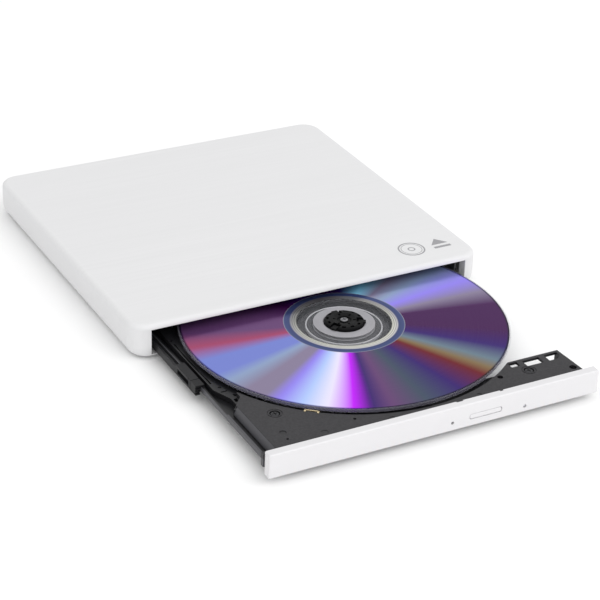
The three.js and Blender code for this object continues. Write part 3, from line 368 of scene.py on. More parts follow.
def srgb(*channels):
    """Linear colour from 0-255 screen values."""
    return tuple(
        c / 255 / 12.92 if c / 255 <= 0.04045 else ((c / 255 + 0.055) / 1.055) ** 2.4 for c in channels
    )


def moulded(name, colour, roughness, grain=1500.0, grain_height=0.006, vary=0.04, coat=0.0, specular=0.5):
    surface = Surface(name, colour, roughness, 0.0, specular)
    surface.vary(vary, 60.0)
    surface.bump(surface.noise(grain, 2.0), 0.5, grain_height)
    if coat:
        surface.shader.inputs["Coat Weight"].default_value = coat
        surface.shader.inputs["Coat Roughness"].default_value = 0.08
    return surface.material


def cover_material():
    """White cover with faint hairlines that run from side to side."""
    surface = Surface("cover_white", srgb(216, 216, 217), 0.42)
    lines = surface.noise(1.0, 5.0, surface.stretched((14, 620, 60)), 0.62)
    broad = surface.noise(1.0, 3.0, surface.stretched((9, 110, 20), (3, 1, 0)))
    fine = surface.noise(1.0, 2.0, surface.stretched((60, 2600, 200), (7, 2, 0)))
    tone = surface.mix(surface.remap(lines, 0, 1, 0.35, 0.65), srgb(214, 214, 215), srgb(218, 218, 219))
    tone = surface.mix(surface.remap(broad, 0, 0.5), tone, srgb(215, 215, 216))
    surface.set_colour(tone)
    surface.set_roughness(surface.remap(lines, 0.34, 0.5, 0.35, 0.65))
    surface.bump(lines, 0.35, 0.012)
    surface.bump(fine, 0.25, 0.006)
    return surface.material


def metal(name, colour, roughness, brushed=(900, 60, 60), dull=0.08):
    surface = Surface(name, colour, roughness, 1.0)
    lines = surface.noise(1.0, 3.0, surface.stretched(brushed))
    cloud = surface.noise(90.0, 4.0)
    darker = tuple(channel * (1 - dull) for channel in colour)
    surface.set_colour(surface.mix(surface.remap(cloud, 0, 1), darker, colour))
    surface.set_roughness(surface.remap(lines, roughness - 0.07, roughness + 0.1))
    surface.bump(lines, 0.3, 0.004)
    return surface.material


def board_material():
    """Solder resist over copper tracks, with drilled and plated holes."""
    surface = Surface("board_green", (0.018, 0.115, 0.055), 0.4)
    tracks = surface.add("ShaderNodeTexBrick")
    tracks.offset = 0.35
    tracks.inputs["Scale"].default_value = 260.0
    tracks.inputs["Mortar Size"].default_value = 0.035
    tracks.inputs["Color1"].default_value = (0.018, 0.115, 0.055, 1)
    tracks.inputs["Color2"].default_value = (0.022, 0.135, 0.062, 1)
    tracks.inputs["Mortar"].default_value = (0.05, 0.21, 0.1, 1)
    surface.link(surface.coordinates, tracks.inputs["Vector"])
    dots = surface.add("ShaderNodeTexVoronoi")
    dots.inputs["Scale"].default_value = 420.0
    surface.link(surface.coordinates, dots.inputs["Vector"])
    pad = surface.maths("LESS_THAN", dots.outputs["Distance"], 0.16)
    surface.set_colour(surface.mix(pad, tracks.outputs["Color"], (0.62, 0.55, 0.36)))
    surface.set_roughness(surface.remap(surface.noise(300.0), 0.32, 0.5))
    surface.bump(tracks.outputs["Fac"], 0.4, 0.02)
    return surface.material


# Painted diffraction light: hues that the disc's grooves make of the lamps' white light, painted into its
# colour
PLUM = srgb(85, 55, 95)
DUSK = srgb(115, 85, 125)
INDIGO = srgb(75, 60, 120)
VIOLET = srgb(155, 140, 245)
PERIWINKLE = srgb(128, 140, 212)
MAUVE = srgb(145, 135, 160)
HAZE = srgb(150, 168, 200)
ICE = srgb(185, 208, 255)
NEAR_WHITE = srgb(240, 235, 255)
MAGENTA = srgb(200, 35, 255)
SLATE = srgb(85, 95, 110)
SAND = srgb(140, 120, 90)
RUST = srgb(120, 58, 60)
TEAL = srgb(118, 136, 148)
ROSE = srgb(170, 85, 115)
CYAN = srgb(155, 225, 255)

# Degrees from the right-hand side at which each hue of the painted diffraction light stands
DISC_PAINTED_DIFFRACTION = (
    (0, MAUVE), (10, VIOLET), (23, HAZE), (35, MAUVE), (48, CYAN), (64, INDIGO), (80, PLUM), (105, INDIGO),
    (125, PLUM), (150, DUSK), (165, DUSK), (175, ROSE), (184, PERIWINKLE), (194, PERIWINKLE), (200, HAZE),
    (208, MAUVE), (215, MAUVE), (220, VIOLET), (228, ICE), (236, NEAR_WHITE), (245, MAGENTA), (251, INDIGO),
    (258, DUSK), (270, SLATE), (284, INDIGO), (297, RUST), (302, SAND), (308, TEAL), (318, INDIGO),
    (330, PLUM), (350, PLUM), (360, MAUVE),
)

# Shares of the disc's radius at which the silver ring ends and the recorded area starts
SILVER_END = 0.325
RECORDED_START = 0.3665


def disc_material(centre, radius):
    """Mirror side of the disc: bands of painted diffraction light spread from the middle, and rings run round
    it.
    """
    surface = Surface("disc_mirror", srgb(120, 110, 160), 0.2, 0.55, 0.1)
    shift = surface.add("ShaderNodeVectorMath", operation="SUBTRACT")
    shift.inputs[1].default_value = centre
    surface.link(surface.coordinates, shift.inputs[0])
    parts = surface.add("ShaderNodeSeparateXYZ")
    surface.link(shift.outputs["Vector"], parts.inputs["Vector"])
    x, y = parts.outputs["X"], parts.outputs["Y"]
    turn = surface.maths("ARCTAN2", y, x)
    turn = surface.maths("DIVIDE", turn, 2 * math.pi)
    turn = surface.maths("FRACT", surface.maths("ADD", turn, 1.0))
    squares = surface.maths("ADD", surface.maths("MULTIPLY", x, x), surface.maths("MULTIPLY", y, y))
    ring = surface.maths("DIVIDE", surface.maths("SQRT", squares), radius)
    # The bands lean a little as they go out
    lean = surface.maths("MULTIPLY", surface.maths("SUBTRACT", ring, 0.7), 0.006)
    turn = surface.maths("FRACT", surface.maths("ADD", surface.maths("ADD", turn, lean), 1.0))
    # Painted diffraction light: the hue bands, by the angle round the middle
    colour = surface.ramp(turn, [(degrees / 360, hue) for degrees, hue in DISC_PAINTED_DIFFRACTION])
    # Leave room for the light that the surface mirrors whatever its colour
    colour = surface.mix(1.0, colour, (0.038, 0.038, 0.036), "SUBTRACT")
    colour = surface.mix(1.0, colour, (0.003, 0.003, 0.003), "LIGHTEN")
    # Rings inside the recorded area, by share of the radius: silver with dark lines, then blue-grey
    rings = (
        (0.0, (0.30, 0.30, 0.31)), (0.287, (0.07, 0.07, 0.08)), (0.2905, (0.62, 0.62, 0.56)),
        (0.2965, (0.72, 0.72, 0.66)), (0.299, (0.20, 0.20, 0.20)), (0.302, (0.20, 0.20, 0.20)),
        (0.304, (0.70, 0.70, 0.65)), (0.3085, (0.72, 0.72, 0.67)), (0.3105, (0.24, 0.23, 0.25)),
        (0.3125, (0.24, 0.23, 0.25)), (0.3145, (0.60, 0.59, 0.60)),
        (0.3225, (0.56, 0.55, 0.58)), (0.3265, (0.046, 0.060, 0.150)), (0.331, (0.042, 0.060, 0.165)),
        (0.362, (0.052, 0.074, 0.20)), (0.368, (0.5, 0.5, 0.5)),
    )
    inner = surface.ramp(ring, rings)
    # Painted highlight and shade: the silver ring is dull towards the drive and bright towards the front
    painted_sheen = surface.ramp(turn, (
        (0.0, (0.7, 0.7, 0.7)), (0.12, (0.42, 0.41, 0.44)), (0.25, (0.26, 0.25, 0.29)),
        (0.4, (0.4, 0.4, 0.42)), (0.5, (0.7, 0.7, 0.7)), (0.62, (0.92, 0.92, 0.9)),
        (0.75, (1, 1, 0.98)), (0.9, (0.95, 0.95, 0.93)), (1.0, (0.7, 0.7, 0.7)),
    ))
    silver = surface.maths("LESS_THAN", ring, SILVER_END)
    inner = surface.mix(silver, inner, painted_sheen, "MULTIPLY")
    recorded = surface.maths("GREATER_THAN", ring, RECORDED_START)
    colour = surface.mix(recorded, inner, colour)
    edge = surface.ramp(ring, (
        (0.0, (1, 1, 1)), (0.976, (1, 1, 1)), (0.982, (0.2, 0.18, 0.3)), (1.0, (0.12, 0.12, 0.2)),
    ))
    colour = surface.mix(1.0, colour, edge, "MULTIPLY")
    grooves = surface.add("ShaderNodeTexNoise", noise_dimensions="1D")
    grooves.inputs["Scale"].default_value = 90.0
    grooves.inputs["Detail"].default_value = 3.0
    surface.link(ring, grooves.inputs["W"])
    colour = surface.mix(surface.remap(grooves.outputs["Fac"], 0.0, 0.01), colour, (0.5, 0.5, 0.6))
    surface.set_colour(colour)
    surface.set_roughness(surface.remap(grooves.outputs["Fac"], 0.16, 0.26))
    surface.bump(grooves.outputs["Fac"], 0.05, 0.004)
    return surface.material


def tray_material(deck, runner, side):
    """Black plastic: grained on the deck, with painted shade darkening everything below it, and a painted
    highlight making the runner and the deck's side greyer.

    deck is the height where the deck begins and runner the x of the runner's outer face. side holds the
    x of the deck's left edge and the y where that edge ends.
    """
    surface = Surface("tray_black", srgb(48, 48, 51), 0.5, 0.0, 0.38)
    parts = surface.add("ShaderNodeSeparateXYZ")
    surface.link(surface.coordinates, parts.inputs["Vector"])
    upper = surface.remap(parts.outputs["Z"], 0, 1, deck - 0.4 * MM, deck)
    grain = surface.noise(1500.0, 3.0, None, 0.65)
    cloud = surface.noise(70.0, 4.0)
    deck_tone = surface.mix(surface.remap(grain, 0, 1, 0.35, 0.65), srgb(35, 34, 37), srgb(49, 48, 51))
    # Painted shade: darker tone for everything below the deck
    painted_shade_highlight_tone = surface.mix(surface.remap(cloud, 0, 1), srgb(16, 16, 19), srgb(24, 24, 27))
    x, y, z = parts.outputs["X"], parts.outputs["Y"], parts.outputs["Z"]

    def past(value, edge):
        return surface.remap(value, 0, 1, edge - 0.1 * MM, edge + 0.1 * MM)

    def short_of(value, edge):
        return surface.remap(value, 1, 0, edge - 0.1 * MM, edge + 0.1 * MM)

    # Painted highlight: the runner's outer face and the deck's left side are greyer
    runner_painted_highlight = surface.maths("MULTIPLY", past(x, runner - 0.3 * MM), short_of(x, runner + 0.3 * MM))
    side_painted_highlight = surface.maths("MULTIPLY", short_of(x, side[0]), past(z, deck - 3 * MM))
    side_painted_highlight = surface.maths("MULTIPLY", side_painted_highlight, short_of(y, side[1]))
    painted_shade_highlight_tone = surface.mix(surface.maths("MAXIMUM", runner_painted_highlight, side_painted_highlight), painted_shade_highlight_tone, srgb(72, 72, 76))
    surface.set_colour(surface.mix(upper, painted_shade_highlight_tone, deck_tone))
    surface.set_roughness(surface.mix(upper, (0.4, 0.4, 0.4), (0.56, 0.56, 0.56)))
    surface.bump(grain, 0.5, 0.02)
    return surface.material


def clear_material(name, colour, alpha, roughness=0.08, wave=0.004):
    surface = Surface(name, colour, roughness)
    surface.vary(0.06, 200.0, 0.03)
    surface.shader.inputs["Alpha"].default_value = alpha
    if wave:
        surface.bump(surface.noise(500.0, 2.0), 0.15, wave)
    return surface.material


COVER = cover_material()
SKIRT = moulded("skirt_white", srgb(216, 216, 217), 0.45, 1800.0, 0.005, 0.02)
GLOSS = moulded("bezel_white", srgb(214, 213, 215), 0.18, 900.0, 0.002, 0.012, coat=0.5)
BLACK = moulded("rail_black", srgb(26, 26, 29), 0.5, 1700.0, 0.015, 0.16, specular=0.3)
CHUCK_BLACK = moulded("chuck_black", srgb(9, 9, 11), 0.5, 1700.0, 0.02, 0.3, specular=0.12)
# Where the tray's painted shade and painted highlight begin: the deck's height, the runner's outer face, the
# end of the deck's left side
DECK_START = 8.25
RUNNER_FACE = -61.4
DECK_SIDE = (-57.2, -52.6)
TRAY_LOOK = tray_material(
    DECK_START * MM, RUNNER_FACE * MM, (DECK_SIDE[0] * MM, (CASE_FRONT + DECK_SIDE[1]) * MM)
)
DEEP_BLACK = moulded("inner_black", srgb(14, 14, 17), 0.5, 1700.0, 0.015, 0.15, specular=0.3)
RUBBER = moulded("rubber_black", srgb(38, 38, 40), 0.85, 2600.0, 0.03, 0.2)
PAD = moulded("turntable_pad", srgb(52, 52, 56), 0.7, 2600.0, 0.02, 0.12)
STEEL = metal("sheet_steel", (0.62, 0.63, 0.65), 0.34)
BRIGHT = metal("bright_steel", (0.78, 0.78, 0.8), 0.22, (300, 300, 300))
DARK_STEEL = metal("dark_steel", (0.2, 0.205, 0.22), 0.4, (60, 900, 60))
RING_GREY = moulded("turntable_grey", srgb(152, 151, 156), 0.36, 1400.0, 0.006, 0.05)
# Lighter copy of the turntable grey: a painted highlight for the turntable's rim
RING_PAINTED_HIGHLIGHT = moulded("turntable_painted_highlight", srgb(196, 196, 200), 0.3, 1400.0, 0.006, 0.05)
SCREW_GREY = metal("screw_grey", (0.27, 0.27, 0.285), 0.4, (300, 300, 300))
SCREW_DARK = metal("screw_dark", (0.07, 0.07, 0.075), 0.45, (300, 300, 300))
BRASS = metal("brass", (0.72, 0.6, 0.38), 0.3, (400, 400, 400))
BOARD = board_material()
CHIP = moulded("chip_black", srgb(34, 34, 37), 0.45, 3000.0, 0.01, 0.1)
AMBER = moulded("ribbon_amber", (0.42, 0.2, 0.05), 0.3, 700.0, 0.01, 0.12, coat=0.3)
LENS = clear_material("lens_clear", (0.7, 0.82, 0.95), 0.5, 0.04)
LAMP_CLEAR = moulded("lamp_lens", srgb(184, 186, 190), 0.2, 900.0, 0.004, 0.05, coat=0.5)
HUB_CLEAR = clear_material("disc_clear", srgb(176, 178, 184), 0.07, 0.07, 0.0)
RIM_CLEAR = clear_material("disc_rim", srgb(170, 168, 182), 0.16, 0.1, 0.0)
PRINT = moulded("print_grey", srgb(150, 150, 153), 0.5, 1200.0, 0.002, 0.08)
LABEL = moulded("disc_label", srgb(206, 207, 212), 0.4, 900.0, 0.004, 0.04)
SWITCH = metal("switch_steel", (0.5, 0.5, 0.52), 0.35, (500, 500, 500))


# ------------------------------------------------------------------ case

COVER_LOW, COVER_HIGH = span("top_cover")
BOTTOM_LOW, BOTTOM_HIGH = span("bottom_cover")
CASE_HALF = COVER_HIGH.x
CASE_DEPTH = COVER_HIGH.y
CASE_TOP = COVER_HIGH.z
CORNER = 7.5
WALL = 1.2
RIM = 1.9
OPENING_HALF = 65.0
POST_DEPTH = 4.0
SKIRT_SIDE = 3.2
SKIRT_FRONT = 1.6
FLOOR_TOP = BOTTOM_LOW.z + WALL


def case_ring(side, front, z):
    """The case's outline, drawn in by side (left, right and back) and by front."""
    half = CASE_HALF - side
    return rounded(-half, half, front, CASE_DEPTH - side, CORNER - min(side, 5), z, 14)


def top_cover():
    low = COVER_LOW.z
    rings = [case_ring(0.12, 0.12, low), case_ring(0, 0, low + 0.12), case_ring(0, 0, CASE_TOP - RIM)]
    for i in range(1, 9):
        angle = math.pi / 2 * i / 8
        inset = RIM * (1 - math.cos(angle))
        rings.append(case_ring(inset, inset, CASE_TOP - RIM + RIM * math.sin(angle)))
    shell = loft(rings)
    hollow = loft([case_ring(WALL, POST_DEPTH, z) for z in (low - 1, CASE_TOP - WALL)])
    mouth = loft([
        rounded(-OPENING_HALF, OPENING_HALF, -1, POST_DEPTH + 1, 0.01, z, 1)
        for z in (low - 1, CASE_TOP - RIM)
    ])
    socket_low, socket_high = span("usb_socket")
    slot = loft([
        rounded(socket_low.x - 0.3, socket_high.x + 0.3, CASE_DEPTH - 3, CASE_DEPTH + 1, 0.01, z, 1)
        for z in (socket_low.z - 0.3, socket_high.z + 0.3)
    ])
    shell = carve(shell, [hollow], [mouth], [slot])
    piece("cover_top", shell, "case", COVER, ["top_cover"], 0.16, 25)


def bottom_cover():
    rise = BOTTOM_HIGH.z - BOTTOM_LOW.z
    outer = []
    for i in range(9):
        angle = math.pi / 2 * i / 8
        inward = 1 - math.sin(angle)
        z = BOTTOM_LOW.z + rise * (1 - math.cos(angle))
        outer.append(case_ring(SKIRT_SIDE * inward, SKIRT_FRONT * inward, z))
    inner = [
        case_ring(SKIRT_SIDE + 0.6, SKIRT_FRONT + 2.4, FLOOR_TOP),
        case_ring(WALL, POST_DEPTH, BOTTOM_HIGH.z),
        case_ring(WALL, POST_DEPTH, BOTTOM_HIGH.z + 1),
    ]
    mouth = block(-OPENING_HALF, OPENING_HALF, -1, POST_DEPTH + 1, FLOOR_TOP, BOTTOM_HIGH.z + 1)
    recesses = []
    for place in ("front_left", "front_right", "back_left", "back_right"):
        foot_low, foot_high = span(f"foot_{place}")
        middle = (foot_low + foot_high) / 2
        radius = (foot_high.x - foot_low.x) / 2 + 0.3
        recesses.append(drum(middle.x, middle.y, 0, foot_high.z + 0.3, radius))
        screw_low, screw_high = span(f"case_screw_{place}")
        middle = (screw_low + screw_high) / 2
        recesses.append(drum(middle.x, middle.y, 0, 2.6, (screw_high.x - screw_low.x) / 2 + 0.35))
    shell = carve(loft(outer), [loft(inner)], [mouth], recesses)
    piece("cover_bottom", shell, "case", SKIRT, ["bottom_cover"], 0.14, 25)


def foot(node):
    low, high = span(node)
    middle = (low + high) / 2
    radius = (high.x - low.x) / 2
    profile = [(0, 0.05), (radius - 1.6, 0.05), (radius - 1.3, 0), (radius - 0.5, 0), (radius - 0.15, 0.12)]
    profile += [(radius, 0.5), (radius, high.z), (0, high.z)]
    piece(f"{node}_pad", lathe(profile, 40, middle.x, middle.y), "case", RUBBER, [node])


def phillips(x, y, z, radius, depth, reach, up=True):
    """Cross-shaped recess for a screw head, at height z, opening up or down."""
    sign = -1 if up else 1
    low, high = sorted((z + sign * depth, z - sign * 0.5))
    arm = 0.24 * radius
    tip = reach * radius
    across = block(x - tip, x + tip, y - arm / 2, y + arm / 2, low, high)
    along = block(x - arm / 2, x + arm / 2, y - tip, y + tip, low, high)
    return [across], [along]


def case_screw(node):
    low, high = span(node)
    middle = (low + high) / 2
    radius = (high.x - low.x) / 2
    head = [(0, 1.3), (radius - 0.35, 1.32), (radius - 0.08, 1.45), (radius, 1.7), (radius, 2.3), (0.8, 2.35)]
    turns = 6
    for i in range(turns):
        z = 2.6 + i * (high.z - 3.2) / turns
        head += [(0.58, z), (0.82, z + 0.3)]
    head += [(0.5, high.z), (0, high.z)]
    recess = phillips(middle.x, middle.y, 1.3, radius, 0.6, 0.7, False)
    body = carve(lathe(head, 32, middle.x, middle.y), *recess)
    piece(f"{node}_turned", body, "case", DARK_STEEL, [node])


def usb_socket():
    low, high = span("usb_socket")
    middle = (low.x + high.x) / 2
    shell = block(low.x, high.x, low.y, high.y, low.z, high.z, 0.35, 3)
    mouth = block(low.x + 0.4, high.x - 0.4, low.y + 0.6, high.y + 1, low.z + 0.4, high.z - 0.4, 0.2, 2)
    latches = [
        block(x - 0.5, x + 0.5, high.y - 4.5, high.y - 2.4, high.z - 0.6, high.z + 1)
        for x in (middle - 1.9, middle + 1.9)
    ]
    shell = carve(shell, [mouth], latches)
    piece("usb_shell", shell, "case", BRIGHT, ["usb_socket"], 0.05)
    tongue = block(middle - 2.4, middle + 2.4, low.y + 0.7, high.y - 1.5, 7, 7.9, 0.12)
    piece("usb_tongue", tongue, "case", CHIP)
    contacts = [
        block(middle + k * 0.8 - 0.14, middle + k * 0.8 + 0.14, low.y + 1, high.y - 1.7, 6.93, 7.02)
        for k in (-2, -1, 0, 1, 2)
    ]
    piece("usb_contacts", join(contacts), "case", BRASS)


def print_mark():
    """Generic printed pictogram: a disc seen from above, beside an eject arrow over a bar."""
    z0, z1 = CASE_TOP + 0.004, CASE_TOP + 0.02
    disc_x, disc_y = 49.0, 13.4
    left, right = 57.6, 64.8
    parts = []
    for inner, outer in ((4.7, 5.3), (3.9, 4.15), (1.0, 1.5)):
        parts.append(lathe([(inner, z0), (outer, z0), (outer, z1), (inner, z1)], 64, disc_x, disc_y))
    parts.append(prism([(left, 12.9), (right, 12.9), ((left + right) / 2, 17.3)], z0, z1))
    parts.append(prism([(left, 10.0), (right, 10.0), (right, 11.4), (left, 11.4)], z0, z1))
    piece("print_mark", join(parts), "case", PRINT)


top_cover()
bottom_cover()
for corner in ("front_left", "front_right", "back_left", "back_right"):
    foot(f"foot_{corner}")
    case_screw(f"case_screw_{corner}")
usb_socket()
print_mark()


# ------------------------------------------------------------------ bezel, button and lamp

BEZEL_LOW, BEZEL_HIGH = span("bezel")
BUTTON_LOW, BUTTON_HIGH = span("eject_button")
LAMP_LOW, LAMP_HIGH = span("lamp_lens")
BEZEL_BEVEL = 0.6
BEZEL_CORNER = 0.5
# How much shorter the bezel is at its left end than the CAD's
BEZEL_LEFT_TRIM = 0.5
PINHOLE_X = 5.1
PINHOLE_Z = BEZEL_LOW.z + 3.0
LAMP_X = (LAMP_LOW.x + LAMP_HIGH.x) / 2
LAMP_Z = BEZEL_LOW.z + 2.2
BUTTON_X = (BUTTON_LOW.x + BUTTON_HIGH.x) / 2
BUTTON_Z = (BUTTON_LOW.z + BUTTON_HIGH.z) / 2
# Half of the button's length and half of its height
BUTTON_HALF = 6.3
BUTTON_TALL = 0.9
# Left and right end of each clip slot in the back edge of the bezel's top
CLIP_SLOTS = ((8, 10.6), (25.2, 26.6))


def bezel_ring(inset, z):
    """Level outline of the bezel, straight along its back."""
    half = BEZEL_HIGH.x - inset
    front = BEZEL_LOW.y + inset
    back = BEZEL_HIGH.y
    left = BEZEL_LEFT_TRIM - half
    ring = [(half, back, z), (left, back, z)]
    for cx, start in ((left + BEZEL_CORNER, 180), (half - BEZEL_CORNER, 270)):
        for i in range(9):
            angle = math.radians(start + 90 * i / 8)
            x = cx + BEZEL_CORNER * math.cos(angle)
            ring.append((x, front + BEZEL_CORNER * (1 + math.sin(angle)), z))
    return ring


def bezel():
    low, high = BEZEL_LOW.z, BEZEL_HIGH.z
    rings = [bezel_ring(0.3, low), bezel_ring(0.08, low + 0.1), bezel_ring(0, low + 0.3)]
    for i in range(7):
        angle = math.pi / 2 * i / 6
        inset = BEZEL_BEVEL * (1 - math.cos(angle))
        rings.append(bezel_ring(inset, high - BEZEL_BEVEL + BEZEL_BEVEL * math.sin(angle)))
    front, back = BEZEL_LOW.y, BEZEL_HIGH.y
    pocket = block(BEZEL_LOW.x + 2, BEZEL_HIGH.x - 2, front + 1.5, back + 1, low + 1, high - 3.2)
    pinhole = lying(PINHOLE_X, front, PINHOLE_Z, 8, 0.6)
    lamp = lying(LAMP_X, front, LAMP_Z, 8, 0.65)
    half, tall = BUTTON_HALF + 0.15, BUTTON_TALL + 0.14
    slot = turned(
        loft([rounded(-half, half, -tall, tall, 0.85, z, 6) for z in (-2, 2)]),
        Matrix.Translation((BUTTON_X, front, BUTTON_Z)) @ Matrix.Rotation(math.pi / 2, 4, "X"),
    )
    clips = [block(x0, x1, back - 0.5, back + 1, high - 0.8, high + 1) for x0, x1 in CLIP_SLOTS]
    shell = carve(loft(rings), [pocket], [pinhole, lamp, slot], clips)
    piece("bezel_front", shell, "tray", GLOSS, ["bezel"], 0.05, 20)


def eject_button():
    front = BUTTON_LOW.y
    middle = BUTTON_X
    rings = []
    for depth, inset in ((1.9, 0), (0.25, 0), (0.1, 0.07), (0.02, 0.2), (0.0, 0.32)):
        half = BUTTON_HALF - inset
        tall = BUTTON_TALL - inset
        rings.append(rounded(-half, half, -tall, tall, 0.75 - inset, depth, 6))
    stand = Matrix.Translation((middle, front, BUTTON_Z)) @ Matrix.Rotation(-math.pi / 2, 4, "X")
    cap = turned(loft([[(x, -y, z) for x, y, z in ring] for ring in rings]), stand)
    collar = block(middle - 7.4, middle + 7.4, front + 1.8, front + 2.4, BUTTON_LOW.z, BUTTON_HIGH.z, 0.1)
    plunger = block(middle - 1, middle + 1, front + 2.3, BUTTON_HIGH.y, BUTTON_Z - 0.7, BUTTON_Z + 0.6, 0.15)
    piece("button_cap", join([cap, collar, plunger]), "eject_button", GLOSS, ["eject_button"])


def lamp_lens():
    front = LAMP_LOW.y
    tip = turned(
        lathe([(0, -0.1), (0.25, -0.02), (0.42, 0.15), (0.45, 1.6), (0, 1.6)], 20),
        Matrix.Translation((LAMP_X, front + 0.1, LAMP_Z)) @ Matrix.Rotation(-math.pi / 2, 4, "X"),
    )
    stem = block(LAMP_LOW.x, LAMP_HIGH.x, front + 1.0, LAMP_HIGH.y, LAMP_Z - 0.5, LAMP_Z + 0.6, 0.15)
    piece("lamp_light_guide", join([tip, stem]), "tray", LAMP_CLEAR, ["lamp_lens"])


bezel()
eject_button()
lamp_lens()


# ------------------------------------------------------------------ disc, chuck and turntable

DISC_LOW, DISC_HIGH = span("disc")
DISC_CENTRE = (DISC_LOW + DISC_HIGH) / 2
DISC_RADIUS = (DISC_HIGH.x - DISC_LOW.x) / 2
DISC_HOLE = 7.5
# Where the mirror side begins and ends, and where the frosted ring round the hole ends
MIRROR_INNER = 17.2
MIRROR_OUTER = 59.4
HUB_FROST = 11.2
CHUCK_LOW, CHUCK_HIGH = span("turntable")
CHUCK_TOP = CHUCK_HIGH.z
CHUCK_RADIUS = 7.2
CLAW_ANGLES = (90, 210, 330)


def disc():
    x, y = DISC_CENTRE.x, DISC_CENTRE.y
    low, high = DISC_LOW.z, DISC_HIGH.z
    centre = (x * MM, (y + CASE_FRONT) * MM, 0)
    mirror = disc_material(centre, DISC_RADIUS * MM)
    inner, outer = MIRROR_INNER, MIRROR_OUTER
    plate = lathe([(inner, low), (outer, low), (outer, high), (inner, high)], 180, x, y)
    made = piece("disc_mirror_side", plate, "spindle", [mirror, LABEL], ["disc"], 0, 40)
    # The label is on the face that lies on the turntable
    for polygon in made.data.polygons:
        if polygon.normal.z < -0.5:
            polygon.material_index = 1
    # Clear hub, with the stacking ring near its outside
    hub = [
        (DISC_HOLE + 0.12, low), (inner - 0.02, low), (inner - 0.02, high), (16.85, high),
        (16.7, high + 0.16), (16.3, high + 0.16), (16.1, high), (15.5, high), (15.35, high - 0.12),
        (15.0, high - 0.12), (14.85, high), (HUB_FROST + 0.02, high), (HUB_FROST + 0.02, high - 0.32),
        (DISC_HOLE, high - 0.32), (DISC_HOLE, low + 0.15),
    ]
    piece("disc_clear_hub", lathe(hub, 120, x, y), "spindle", HUB_CLEAR, (), 0, 15)
    # Frosted ring round the hole, with fine turned grooves
    frost = [(HUB_FROST, high - 0.3), (HUB_FROST, high - 0.02)]
    for step in range(4):
        radius = HUB_FROST - 0.5 - step * 0.55
        frost += [(radius + 0.1, high - 0.02), (radius, high - 0.1), (radius - 0.1, high - 0.02)]
    frost += [(DISC_HOLE + 0.1, high - 0.02), (DISC_HOLE + 0.1, high - 0.3)]
    piece("disc_frosted_ring", lathe(frost, 120, x, y), "spindle", RING_GREY, (), 0, 15)
    edge = [
        (outer + 0.02, low), (DISC_RADIUS - 0.15, low), (DISC_RADIUS, low + 0.2), (DISC_RADIUS, high - 0.2),
        (DISC_RADIUS - 0.06, high - 0.06), (DISC_RADIUS - 0.2, high), (outer + 0.02, high),
    ]
    piece("disc_clear_rim", lathe(edge, 180, x, y), "spindle", RIM_CLEAR, (), 0, 15)


def turntable():
    x, y = DISC_CENTRE.x, DISC_CENTRE.y
    low = CHUCK_LOW.z
    top = low + 0.95
    plate = [(6.6, low), (11.0, low), (11.3, low + 0.1), (11.3, top + 0.45), (11.1, top + 0.6)]
    for step in range(5):
        # Fine turned grooves
        radius = 10.6 - step * 0.6
        plate += [(radius + 0.1, top + 0.6), (radius, top + 0.52), (radius - 0.1, top + 0.6)]
    plate += [(7.5, top + 0.6), (6.6, top)]
    piece("turntable_ring", lathe(plate, 96, x, y), "spindle", RING_GREY, (), 0, 40)
    pad = [
        (11.35, low + 0.1), (13.3, low + 0.1), (13.3, top + 0.5), (13.1, top + 0.6), (11.5, top + 0.6),
        (11.35, top + 0.5),
    ]
    piece("turntable_pad", lathe(pad, 96, x, y), "spindle", PAD)
    # The rim is painted lighter, as a highlight on its raised edge
    rim = [
        (13.5, low), (14.0, low), (14.0, top + 0.45), (13.85, top + 0.62), (13.65, top + 0.62),
        (13.5, top + 0.5),
    ]
    piece("turntable_rim", lathe(rim, 96, x, y), "spindle", RING_PAINTED_HIGHLIGHT, (), 0, 40)
    skirt = [(14.1, low), (16.2, low), (16.2, low + 0.25), (16.1, low + 0.35), (14.1, low + 0.35)]
    piece("turntable_skirt", lathe(skirt, 96, x, y), "spindle", PAD, (), 0, 40)
    chuck()


def chuck():
    """Black centring boss: a notched wall round a recess, with slots between its fingers."""
    x, y = DISC_CENTRE.x, DISC_CENTRE.y
    low, top = CHUCK_LOW.z, CHUCK_TOP + 0.3
    radius = CHUCK_RADIUS
    profile = [
        (0, low), (radius - 0.3, low), (radius, low + 0.3), (radius, top - 0.9), (radius - 0.25, top - 0.35),
        (radius - 0.8, top - 0.05), (radius - 1.3, top), (4.4, top), (4.1, top - 0.15), (2.9, top - 0.25),
        (2.6, top - 0.45), (2.5, top - 0.75), (0, top - 0.75),
    ]
    body = lathe(profile, 96, x, y)
    place = Matrix.Translation((x, y, 0))
    claws = []
    for angle in CLAW_ANGLES:
        spin = Matrix.Rotation(math.radians(angle), 4, "Z")
        claws.append(turned(block(4.4, 9.4, -1.6, 1.6, top - 1.0, top + 1), place @ spin))
    fingers = []
    for angle in range(60, 420, 30):
        if angle % 360 in CLAW_ANGLES:
            continue
        spin = Matrix.Rotation(math.radians(angle), 4, "Z")
        fingers.append(turned(block(5.6, 6.5, -0.75, 0.75, top - 0.8, top + 1, 0.2), place @ spin))
    webs = []
    for angle in range(30, 390, 60):
        spin = Matrix.Rotation(math.radians(angle), 4, "Z")
        webs.append(turned(block(3.1, 4.2, -0.35, 0.35, top - 0.6, top + 1), place @ spin))
    body = carve(body, claws, fingers, webs)
    piece("chuck_boss", body, "spindle", CHUCK_BLACK, ["turntable"], 0.06)
    screw_low, screw_high = span("chuck_screw")
    z = screw_high.z + 0.4
    head = [(0, z - 0.5), (1.3, z - 0.5), (1.4, z - 0.3), (1.35, z - 0.12), (1.1, z), (0, z)]
    head = carve(lathe(head, 40, x, y), *phillips(x, y, z, 1.5, 0.35, 0.66))
    piece("chuck_screw_head", head, "spindle", SCREW_GREY, ["chuck_screw"])


